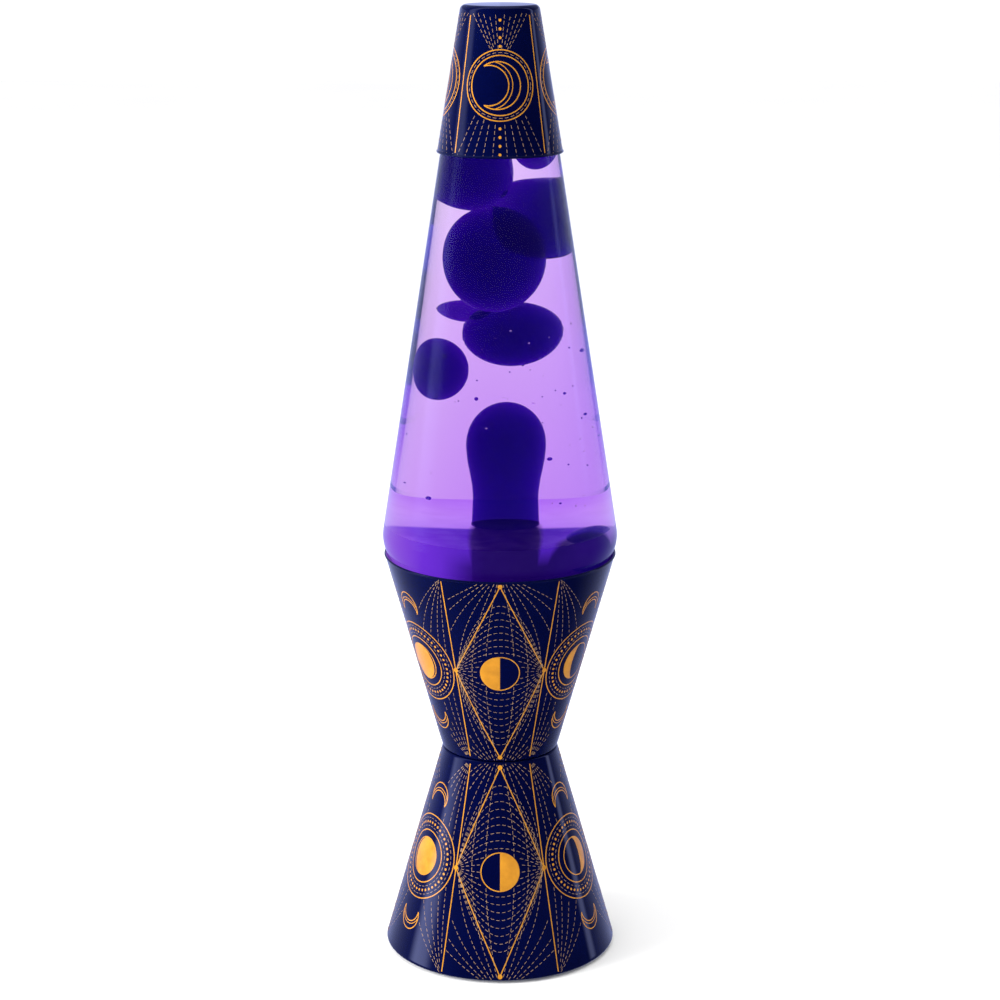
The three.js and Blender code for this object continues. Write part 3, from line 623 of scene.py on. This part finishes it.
class Ink:
    """Thin closed patches of one ink on a skin, whose chosen line is at a base angle from the front."""

    LOW, HIGH = 0.012, 0.05    # the ink's faces, above the lacquer

    def __init__(self, skin):
        self.skin = skin
        self.base_angle = 0.0
        self.vertices = []
        self.faces = []

    def patch(self, left, right, across=1):
        """Fills between two lines of equally many points."""
        columns = across + 1
        count = len(left)
        first = len(self.vertices)
        for lift in (self.LOW, self.HIGH):
            for a, b in zip(left, right):
                for flat in spread(a, b, across):
                    self.vertices.append(self.skin.point(flat, self.base_angle, lift))
        top = first + count * columns
        for i in range(count - 1):
            for k in range(across):
                p = i * columns + k
                quad = (p, p + 1, p + columns + 1, p + columns)
                self.faces.append(tuple(top + v for v in quad))
                self.faces.append(tuple(first + v for v in reversed(quad)))
        edge = [i * columns for i in range(count)]
        edge += [(count - 1) * columns + k for k in range(1, columns)]
        edge += [i * columns + across for i in range(count - 2, -1, -1)]
        edge += range(across - 1, 0, -1)
        for p, q in zip(edge, edge[1:] + edge[:1]):
            self.faces.append((first + p, first + q, top + q, top + p))

    def stroke(self, points, width):
        """Draws the stretches of a line that lie on the skin."""
        for on_skin, stretch in itertools.groupby(points, lambda point: self.skin.holds(point, 0.6)):
            run = list(stretch)
            if on_skin and len(run) > 1:
                ways = [b - a for a, b in zip(run[:1] + run[:-1], run[1:] + run[-1:])]
                sides = [1j * way / abs(way) * width / 2 for way in ways]
                self.patch([p + s for p, s in zip(run, sides)], [p - s for p, s in zip(run, sides)])

    def dashes(self, points, keep=None):
        """Breaks a line into even dashes and draws those whose middle passes the keep test."""
        dash, gap = 1.3, 0.9
        distances = [0.0, *itertools.accumulate(abs(b - a) for a, b in zip(points, points[1:]))]
        start = 0.0
        while start + dash < distances[-1]:
            stretch = [point_along(points, distances, start + dash * k / 2) for k in range(3)]
            start += dash + gap
            if keep is None or keep(stretch[1]):
                self.stroke(stretch, HAIR)

    def disc(self, centre, radius, rows=6, inset=0.5, lit=1.0, across=1):
        """A disc in rows, as far as a squeezed right edge: lit 0 is half of it and 1 is all.

        The first and the last row are an inset, a share of a row, in from its bottom and its top.
        """
        left, right = [], []
        for i in range(rows):
            angle = math.pi * ((i + inset) / (rows - 1 + 2 * inset) - 0.5)
            level, half = centre + 1j * radius * math.sin(angle), max(radius * math.cos(angle), 1e-3)
            left.append(level - half)
            right.append(level + lit * half)
        self.patch(left, right, across)

    def dots(self, points, radius, spacing):
        """Round dots at even distances along a line."""
        travelled = spacing
        for a, b in zip(points, points[1:]):
            travelled += abs(b - a)
            if travelled >= spacing:
                travelled = 0.0
                if self.skin.holds(b, 1.0):
                    self.disc(b, radius)

    def piece(self, name, body, material):
        make_piece(name, (self.vertices, self.faces), body, "printed_navy", sharp=20, material=material)


def point_along(points, distances, distance):
    """The point at a distance along a line, from the distance of each of its points."""
    k = min(bisect.bisect_left(distances, distance, 1), len(points) - 1)
    share = (distance - distances[k - 1]) / (distances[k] - distances[k - 1])
    return points[k - 1] + (points[k] - points[k - 1]) * share


def ring(centre, radius, start=0.0, end=360.0):
    """Points round a circle's arc, about a millimetre apart."""
    steps = max(12, round(abs(math.radians(end - start)) * radius))
    return [centre + cmath.rect(radius, math.radians(a)) for a in spread(start, end, steps)]


def straight(a, b, bow=0.0):
    """Points from a to b, bowed sideways by a share of the distance."""
    steps = max(2, round(abs(b - a) / 1.5))
    return [a + (b - a) * complex(t, 4 * t * (1 - t) * bow) for t in spread(0.0, 1.0, steps)]


def draw_crescent(gold, centre, radius, thickness, tilt, reach=118.0):
    """An outlined crescent whose belly points along the tilt, with a third arc inside it."""
    horn = cmath.rect(radius, math.radians(reach))
    inner = radius - thickness
    back = (radius ** 2 - inner ** 2) / (2 * inner - 2 * horn.real)
    middle = centre - cmath.rect(back, math.radians(tilt))
    half = math.degrees(cmath.phase(horn + back))
    for about, size, sweep, width in (
            (centre, radius, reach, LINE), (middle, inner + back, half, LINE),
            (middle, inner + back + thickness / 3, half * 0.7, THIN)):
        gold.stroke(ring(about, size, tilt - sweep, tilt + sweep), width)


def draw_rings(gold, pale, centre, radii):
    """Even rings round one centre: a solid one at each end, and dashed and dotted ones between them."""
    for radius in (radii[0], radii[-1]):
        gold.stroke(ring(centre, radius), LINE)
    for i, radius in enumerate(radii[1:-1]):
        if i % 2:
            gold.dots(ring(centre, radius), 0.5, 1.7)
        else:
            pale.dashes(ring(centre, radius))


def draw_web(pale, ends, bows, keep):
    """Dashed curves that leave one point, bow out by different amounts and meet again at another."""
    for bow in bows:
        for side in (-1, 1):
            pale.dashes(straight(*ends, bow * side), keep)


def draw_lozenge(gold, corners):
    """Four straight lines with a dot at each corner."""
    for a, b in zip(corners, corners[1:] + corners[:1]):
        gold.stroke(straight(a, b), LINE)
        gold.disc(a, 0.95)


def off(skin, edge_angle, *discs):
    """A test for being inside a panel and off some discs, each a centre and a radius."""
    margin = 1.5

    def test(point):
        inside = skin.angle(point) < edge_angle - margin
        return inside and all(abs(point - centre) > radius for centre, radius in discs)

    return test


def print_cone(skin, name, body, bare=()):
    """Moon phases in equal panels, by turns inside rings and on a lozenge over dashed arcs.

    The bare places, each a panel and a side of its moon, have no crescent.
    """
    gold, pale = Ink(skin), Ink(skin)
    top, middle, moon, gap, panels = skin.length, 0.5j * skin.length, 7.4, 0.9, 6
    edge_angle = 180.0 / panels
    left, right = (skin.polar(side * edge_angle, top / 2) for side in (-1, 1))
    reach = right.real - 1.2
    crescents = [(side, middle + 1j * side * (reach + 7.6)) for side in (-1, 1)]
    off_moon = off(skin, edge_angle, (middle, moon + gap))
    off_rings = off(skin, edge_angle, (middle, reach + gap), *((centre, 7.5) for side, centre in crescents))
    for i in range(panels):
        gold.base_angle = pale.base_angle = 2 * edge_angle * i
        lit = math.cos(math.radians(gold.base_angle + 90))
        gold.stroke(ring(middle, moon), LINE)
        gold.disc(middle, moon - 0.1, rows=25, inset=0.0, lit=lit if lit > 0 else 0.45 * lit, across=6)
        gold.stroke(straight(skin.polar(edge_angle, 0.0), skin.polar(edge_angle, top)), LINE)
        if i % 2:
            draw_rings(gold, pale, middle, spread(moon + 2.9, reach, 4))
            for side, centre in crescents:
                border = [skin.polar(side * edge_angle, along) for along in (0.0, top)]
                draw_web(pale, border, (0.04, 0.08, 0.13, 0.19, 0.26), off_rings)
                if (i, side) not in bare:
                    draw_crescent(gold, centre, 5.6, 3.2, side * 90.0)
        else:
            draw_lozenge(gold, [2j, right, 1j * (top - 2.0), left])
            draw_web(pale, (right, left), spread(0.05, 0.9, 10), off_moon)
            draw_web(pale, (-4j, 1j * (top + 4.0)), (0.06, 0.12, 0.18, 0.25, 0.33, 0.42), off_moon)
    gold.piece(f"{name}_gold_print", body, GOLD)
    pale.piece(f"{name}_pale_print", body, PALE)


def print_cap(skin):
    """Four equal panels, each an upright crescent inside rings over dashed lines that fan out."""
    gold, pale = Ink(skin), Ink(skin)
    bottom, middle, panels = skin.length, 0.5j * skin.length, 4
    edge_angle = 180.0 / panels
    off_rings = off(skin, edge_angle, (middle, 13.4))
    for i in range(panels):
        gold.base_angle = pale.base_angle = 2 * edge_angle * i
        draw_crescent(gold, middle - 1.0, 8.6, 4.4, 0.0, reach=125.0)
        draw_rings(gold, pale, middle, (10.8, 11.8, 12.8))
        for start, end in ((1.5j, middle - 14j), (middle + 14j, 1j * (bottom - 1.5))):
            gold.dots(straight(start, end), 0.55, 2.6)
        for side in (-edge_angle, edge_angle):
            for share in spread(0.15, 0.95, 4):
                low, high = skin.polar(side * share, bottom), skin.polar(-side * share, 0.0)
                pale.dashes(straight(low, high), off_rings)
        gold.stroke(straight(skin.polar(edge_angle, 0.0), skin.polar(edge_angle, bottom)), LINE)
    gold.piece("cap_gold_print", "cap", GOLD)
    pale.piece("cap_pale_print", "cap", PALE)


# ---- Bottle, closure and coil ----


def make_bottle():
    neck, lip_radius, collar_z = 12.0, 0.9, MOUTH_Z - 15.5
    collar = arc(neck - 0.3, collar_z + 1.0, 0.9, -math.pi / 2, math.pi / 2, 8)
    lip = arc(neck - lip_radius, MOUTH_Z - lip_radius, lip_radius, 0, math.pi / 2, 5)
    inner_lip = arc(neck - GLASS_WALL + 0.6, MOUTH_Z - 0.6, 0.6, math.pi / 2, math.pi, 4)
    outline = bottle_outline(0.0) + collar + lip + inner_lip + bottle_outline(GLASS_WALL)[::-1]
    make_piece("bottle", turned(outline, FINE), "globe", "bottle_glass", ["glass_bottle"], sharp=50)


def make_closure():
    """Pressed metal cap: a knurled skirt with a rolled edge and a panel with a shallow ring."""
    low, high = box_mm("bottle_screw_cap")
    outer, inner, skirt, top = high.x, 12.9, low.z, high.z
    hem = arc(outer - 0.55, skirt + 0.55, 0.55, math.pi, 2.25 * math.pi, 10)
    grooves, wall = 60, outer - 0.25
    knurl_low, knurl_high = skirt + 2.6, top - 3.0
    band = [(wall, z) for z in spread(knurl_low, knurl_high, 8)]
    outline = [(0.0, top - 1.1), (inner, top - 1.1), (inner, skirt + 0.8)] + hem + [(wall, skirt + 1.8)]
    outline += band + [(wall, top - 2.2), (outer - 0.4, top - 1.2), (outer - 1.3, top), (outer - 4.0, top),
                       (outer - 4.6, top - 0.35), (outer - 5.4, top - 0.35), (outer - 6.0, top), (0.0, top)]

    def knurl(angle, r, z):
        on_band = knurl_low < z < knurl_high and r > inner + 0.3
        return 0.22 * max(0.0, math.cos(grooves * angle)) if on_band else 0.0

    shape = turned(outline, grooves * 6, knurl)
    make_piece("closure", shape, "globe", "closure_metal", ["bottle_screw_cap"])


def make_coil():
    """A long spring bent round into a ring on the bottle's floor."""
    low, high = box_mm("heating_coil")
    tube = (high.z - low.z) / 2
    radius, z = high.x - tube, (high.z + low.z) / 2
    turns, steps, gauge = 84, 14, 0.38
    route, leans = [], []
    for i in range(turns * steps):
        along = 2 * math.pi * i / (turns * steps)
        around = 2 * math.pi * i / steps
        out = Vector((math.cos(along), math.sin(along), 0.0))
        lean = out * math.cos(around) + Vector((0, 0, math.sin(around)))
        route.append(out * radius + Vector((0, 0, z)) + lean * (tube - gauge))
        leans.append(lean)
    shape = swept(route, gauge, 7, leans, closed=True)
    make_piece("coil", shape, "globe", "coil_wire", ["heating_coil"])


# ---- Feet and bulb ----


def make_feet():
    """Stuck-on rubber feet with a rounded edge and a dished underside."""
    for i in range(1, 5):
        node = f"rubber_foot_{i}"
        low, high = box_mm(node)
        radius, thick, edge = (high.x - low.x) / 2, high.z - low.z, 0.4
        rounded = arc(radius - edge, edge, edge, -math.pi / 2, 0, 5)
        dish = [(0.0, 0.25), (radius * 0.45, 0.2), (radius * 0.6, 0.0)]
        outline = dish + rounded + [(radius, thick), (0.0, thick)]
        place = Matrix.Translation(((low.x + high.x) / 2, (low.y + high.y) / 2, low.z))
        make_piece(f"foot_{i}", placed(turned(outline, SMALL), place), "base", "foot_rubber", [node])


def make_bulb_glass():
    """A round clear bulb, open at its neck."""
    low, high = box_mm("bulb_envelope")
    ball, wall, neck = 17.5, 0.8, 7.3
    centre, start = high.z - ball, math.radians(-50)

    def face(inset):
        upper = arc(0.0, centre, ball - inset, start, math.pi / 2, 26)
        joint = upper[0]
        lead_in = (joint[0] + 3.2 * math.sin(start), joint[1] - 3.2 * math.cos(start))
        rise = bezier((neck - inset, low.z + 2), (neck - inset, low.z + 6), lead_in, joint, 10)
        return [(neck - inset, low.z)] + rise + upper[1:-1]

    outline = face(0.0) + [(0.0, high.z), (0.0, high.z - wall)] + face(wall)[::-1]
    make_piece("bulb_glass", turned(outline, MEDIUM), "bulb", "bulb_glass", ["bulb_envelope"], sharp=50)


def make_bulb_shell():
    """The bulb's screw shell, with a rolled thread."""
    low, high = box_mm("bulb_screw_shell")
    crest, pitch, sheet = high.x, 2.82, 0.3
    first, last = low.z + 1.2, high.z - 3.0
    rows = round((last - first) / pitch * 10)
    wall_line = [(crest - 0.45, z) for z in spread(first, last, rows)]
    outer = [(crest - 1.6, low.z), (crest - 0.7, low.z + 0.5)] + wall_line + [(crest - 0.45, high.z)]
    inner = [(crest - 1.25, high.z), (crest - 1.25, low.z + 1.0), (crest - 2.0, low.z + sheet)]

    def thread(angle, r, z):
        on_wall = first < z < last and r > crest - 0.6
        return 0.45 * math.cos(2 * math.pi * (z - first) / pitch - angle) if on_wall else 0.0

    shape = turned(outer + inner, MEDIUM, thread)
    make_piece("bulb_shell", shape, "bulb", "bulb_brass", ["bulb_screw_shell"])


def make_filament():
    """A fine coil of wire that droops between its two ends."""
    high = box_mm("bulb_filament")[1]
    turns, steps, coil, gauge = 34, 10, 0.55, 0.11
    reach, count = high.x - 0.2, turns * steps
    route = []
    for i in range(count + 1):
        along, around = i / count, 2 * math.pi * i / steps
        x = reach * (2 * along - 1)
        droop = 1.2 * math.sin(math.pi * along)
        route.append((x, coil * math.cos(around), high.z - coil - 0.1 - droop + coil * math.sin(around)))
    make_piece("filament_coil", swept(route, gauge, 6), "bulb", "filament_wire", ["bulb_filament"])


# ---- Wax and liquid ----

WALL_REACH = GLASS_WALL - 0.15     # how deep the filling's outside lies in from the glass's outer face
FILLING = [p for p in bottle_outline(WALL_REACH) if p[0] > 34.5 or p[1] > POOL_Z]   # its outside wall


def filling_radius(z):
    """The filling's radius at a height above the pool."""
    return between(FILLING, z, z + 0.1)[0][0]


def blob(centre, size, turn=0.0, shape=lambda way: 1.0, rings=48, sides=72):
    """A rounded body of wax. shape(direction) scales its reach and lets it swell or taper."""
    upright = [(math.sin(a), -math.cos(a)) for a in spread(0.0, math.pi, rings)[1:-1]]
    ways, faces = turned([(0.0, -1.0)] + upright + [(0.0, 1.0)], sides)
    place = Matrix.Translation(centre) @ Matrix.Rotation(math.radians(turn), 4, "Z")
    reached = [Vector(way) * shape(Vector(way)) for way in ways]
    return placed((reached, faces), place @ Matrix.Diagonal((*size, 1)))


def drop(node, body, shape, size=None, shift=(0, 0, 0), turn=0.0):
    """A drop of wax that fills its CAD node's box, flattened where it meets the glass."""
    low, high = box_mm(node)
    whole = blob((low + high) / 2 + Vector(shift), size or (high - low) / 2, turn, shape)
    name = node.replace("wax_drop", "drop").replace("wax_", "")
    make_piece(name, held_in(whole), body, "wax", [node], sharp=80)


def wobble(amount, tilt=(0.0, 0.0, 1.0), taper=0.0):
    """A gently uneven sphere: a two-lobed swell about a direction, and a taper along it."""
    way = Vector(tilt).normalized()

    def reach(direction):
        along = direction.dot(way)
        return 1.0 + amount * (1.5 * along * along - 0.5) + taper * along * (1 - along * along)

    return reach


def boxy(power, sag=0.0):
    """A sphere swollen towards its corners, 2 is round and more is squarer, and towards its lower right."""
    return lambda way: sum(abs(c) ** power for c in way) ** (-1 / power) - sag * way.x * way.z


def held_in(shape):
    """The shape pressed in where it would pass through the glass."""
    vertices, faces = shape
    held = []
    for x, y, z in vertices:
        room = filling_radius(min(max(z, POOL_Z), LIQUID_Z - 1)) - 0.45
        squeeze = min(1.0, room / max(math.hypot(x, y), 1e-6))
        held.append((x * squeeze, y * squeeze, z))
    return held, faces


def make_wax_pool():
    """The pool, hollowed underneath for the coil, with the rising column and the side mound."""
    inset = WALL_REACH + 0.05
    wall = [p for p in between(bottle_outline(inset), REST_Z + 7, POOL_Z) if p[0] > 34.5]
    floor = [p for p in bottle_outline(inset) if p[0] <= 27.9 and p[1] < POOL_Z]
    coil_top = box_mm("heating_coil")[1].z + 1.1
    outline = floor + [(28.1, coil_top), (34.3, coil_top)] + wall + [(0.0, POOL_Z)]
    # Its finish glows with painted light and has painted shade by the column and mound.
    make_piece("wax_bed", turned(outline, FINE), "globe", "wax", ["wax_pool"], sharp=60, material=PAINTED_LIGHT_BED)
    column_x, neck, head, head_z, top_z = 1.5, 9.3, 11.3, 203.0, 219.4
    stem = bezier((neck, 182.0), (neck, 190.0), (head, 195.0), (head, head_z), 14)
    crown = [(head * math.cos(a), head_z + (top_z - head_z) * math.sin(a))
             for a in spread(0.0, math.pi / 2, 16)[1:-1]]
    column = [(0.0, POOL_Z - 2.0), (neck + 0.8, POOL_Z - 2.0), (neck + 0.2, POOL_Z + 1.5)] + stem + crown
    vertices, faces = turned(column + [(0.0, top_z)], MEDIUM)
    vertices = [(x + column_x + 0.004 * (z - POOL_Z), y, z) for x, y, z in vertices]
    make_piece("wax_column", (vertices, faces), "globe", "wax", sharp=60)
    mound = held_in(blob((32.0, -20.0, 167.0), (13.5, 18.5, 7.3)))
    make_piece("wax_mound", mound, "globe", "wax", sharp=80)


def make_liquid():
    outline = [(0.0, POOL_Z - 0.2)] + between(FILLING, POOL_Z - 0.2, LIQUID_Z) + [(0.0, LIQUID_Z - 0.2)]
    make_piece("liquid", turned(outline, FINE), "globe", "liquid", ["lamp_liquid"], sharp=60)


def make_specks():
    """Fine beads of wax and bubbles of air that hang in the liquid, off the column and the drops' paths."""
    taken = [(Vector((1.5, 0, 0)), 12.5)]
    for node in ("wax_drop_left", "wax_drop_small"):
        low, high = box_mm(node)
        taken.append(((low + high) / 2, (high.x - low.x) / 2 + 5.0))
    chance = random.Random(7)
    for name, slot, material, count, sizes in (("wax_specks", "wax", None, 40, (0.22, 0.28, 0.36, 0.5, 0.7)),
                                               ("air_specks", "liquid", AIR, 46, (0.16, 0.2, 0.26, 0.34))):
        vertices, faces = [], []
        while count:
            z = chance.uniform(POOL_Z + 5, 250)
            angle = chance.uniform(-0.3, 2 * math.pi - 0.3)
            reach = filling_radius(z) * chance.uniform(0.42, 0.93)
            x, y = reach * math.cos(angle), reach * math.sin(angle)
            if any(math.hypot(x - middle.x, y - middle.y) < room for middle, room in taken):
                continue
            count -= 1
            size = chance.choice(sizes)
            bead, bead_faces = blob((x, y, z), (size, size, size), rings=8, sides=12)
            faces += [tuple(len(vertices) + v for v in face) for face in bead_faces]
            vertices += bead
        make_piece(name, (vertices, faces), "globe", slot, sharp=80, material=material)


def make_wax():
    make_wax_pool()
    drop("wax_drop_large", "large_drop", wobble(0.01, taper=0.02))
    drop("wax_drop_middle", "middle_drop", wobble(0.015, (1, 0, 0.2)))
    drop("wax_drop_left", "left_drop", wobble(0.01, (1, 0, 0.3)))
    drop("wax_drop_small", "small_drop", wobble(0.02, (1, 0, 0)))
    drop("wax_drop_right", "right_drop", boxy(3.0), (7.4, 14.6, 14.8), (-2.2, 2.4, 0), turn=38.0)
    drop("wax_top_mass", "globe", boxy(2.4, 0.14), (12.6, 12.0, 17.2), (-1.4, 2.5, -0.5))
    drop("wax_top_drop", "globe", wobble(0.01))


# ---- Camera, lights and floor ----


def make_camera():
    """Stands in front of the lamp, a little above it, and looks slightly down."""
    data = bpy.data.cameras.new("camera")
    data.sensor_width = 36.0
    data.lens = 91.8
    camera = in_scene("camera", data)
    camera.location = (0.0, -0.95, 0.421)
    camera.rotation_euler = (math.radians(90 - 14.2), 0.0, 0.0)
    bpy.context.scene.camera = camera


def soft_light(name, place, target, size, watts):
    data = bpy.data.lights.new(name, "AREA")
    data.shape = "RECTANGLE"
    data.size, data.size_y = size
    data.energy = watts
    light = in_scene(name, data)
    light.location = place
    light.rotation_euler = (Vector(target) - Vector(place)).to_track_quat("-Z", "Y").to_euler()
    light.visible_camera = light.visible_glossy = light.visible_transmission = False


def make_world():
    """A white room, a little violet on the left as seen through the lamp.

    In reflections it is cool, its front dim and its back bright, with a tall soft panel on each side.
    """
    world = bpy.data.worlds.new("studio")
    world.use_nodes = True
    bpy.context.scene.world = world
    nodes = Nodes(world.node_tree)
    direction = nodes.add("ShaderNodeTexCoord").outputs["Generated"]
    side, height = nodes.axis(direction, "X"), nodes.axis(direction, "Z")
    frontward = nodes.times(nodes.axis(direction, "Y"), -1.0)
    azimuth = nodes.math("DEGREES", nodes.math("ARCTAN2", side, frontward))

    def ramp(value, start, end, low, high):
        return nodes.span(value, start, end, low, high, "SMOOTHSTEP")

    def panel(centre, half_width, soft):
        off = nodes.math("ABSOLUTE", nodes.math("SUBTRACT", azimuth, centre))
        return ramp(off, half_width - soft, half_width + soft, 1.0, 0.0)

    backdrop = ramp(nodes.math("ABSOLUTE", azimuth), 95, 155, 0.05, 0.95)
    backdrop = nodes.times(backdrop, ramp(height, -0.6, -0.2, 0.5, 1.0))
    backdrop = nodes.times(backdrop, ramp(height, 0.15, 0.23, 1.0, 0.3))
    left_side = ramp(azimuth, -100, -30, 0.12, 0.0)
    left_panel = nodes.times(panel(-86, 11, 6), ramp(height, 0.03, 0.16, 3.8, 1.3))
    right_panel = nodes.times(panel(104, 4, 3), 1.6)
    above_floor = ramp(height, -0.1, -0.01, 0.0, 1.0)
    panels = nodes.times(above_floor, nodes.math("ADD", left_panel, right_panel))
    ceiling = ramp(height, 0.8, 0.97, 0.0, 0.5)
    glow = backdrop
    for part in (left_side, panels, ceiling):
        glow = nodes.math("ADD", glow, part)
    ray = nodes.add("ShaderNodeLightPath")
    through = ray.outputs["Is Transmission Ray"]
    bounced = nodes.math("GREATER_THAN", ray.outputs["Glossy Depth"], 0.5)
    mirror = nodes.times(bounced, nodes.math("SUBTRACT", 1.0, through))
    room = nodes.times(nodes.math("SUBTRACT", 1.0, mirror), 1.08)
    cool = nodes.mixed(mirror, (1.0, 1.0, 1.0, 1.0), (0.5, 0.56, 1.0, 1.0))
    shaded_side = nodes.times(through, ramp(side, 0.0, -0.7, 0.0, 1.0))
    background = nodes.tree.nodes["Background"]
    nodes.put(nodes.math("ADD", nodes.times(mirror, glow), room), background.inputs["Strength"])
    nodes.put(nodes.mixed(shaded_side, cool, (0.78, 0.64, 0.98, 1.0)), background.inputs["Color"])


def make_floor():
    mesh = bpy.data.meshes.new("floor")
    half = 4.0
    corners = [(x * half, y * half, 0) for x, y in ((-1, -1), (1, -1), (1, 1), (-1, 1))]
    mesh.from_pydata(corners, [], [(0, 1, 2, 3)])
    finish = Finish("floor_paper", Roughness=0.9, Specular_IOR_Level=0.1)
    finish.colour(finish.noise(3), (0.93, 0.93, 0.935), (0.95, 0.95, 0.95))
    mesh.materials.append(finish.material)
    floor = in_scene("floor", mesh)
    floor.visible_glossy = floor.visible_transmission = False


def finish_carried_nodes():
    """Gives each CAD node its slot's finish; the ones that are replaced stay hidden."""
    for row in frame["record"]["subparts"]:
        slots = frame["nodes"][row["node"]].data.materials
        slots.clear()
        slots.append(FINISHES[row["material_slot"]])


make_camera()
make_world()
make_floor()
soft_light("overhead", (0.0, -0.1, 1.5), (0, 0, 0), (1.6, 1.6), 6)
soft_light("left_key", (-1.1, -0.35, 0.45), (0, 0, 0.2), (0.6, 0.9), 26)
bpy.context.scene.view_settings.view_transform = "Standard"
for kind in ("max", "glossy", "transmission"):
    setattr(bpy.context.scene.cycles, f"{kind}_bounces", 24)    # light runs round inside the bottle's edges

make_lower_cone()
make_upper_cone()
make_cap()
print_cone(Skin(*UPPER_FACE, 1), "upper_cone", "base")
print_cone(Skin(*LOWER_FACE, -1), "lower_cone", "base", bare=[(3, 1)])     # the cord's gland is there
print_cap(Skin(*CAP_FACE, 1))
make_bottle()
make_closure()
make_coil()
make_feet()
make_bulb_glass()
make_bulb_shell()
make_filament()
make_wax()
make_liquid()
make_specks()

finish_carried_nodes()
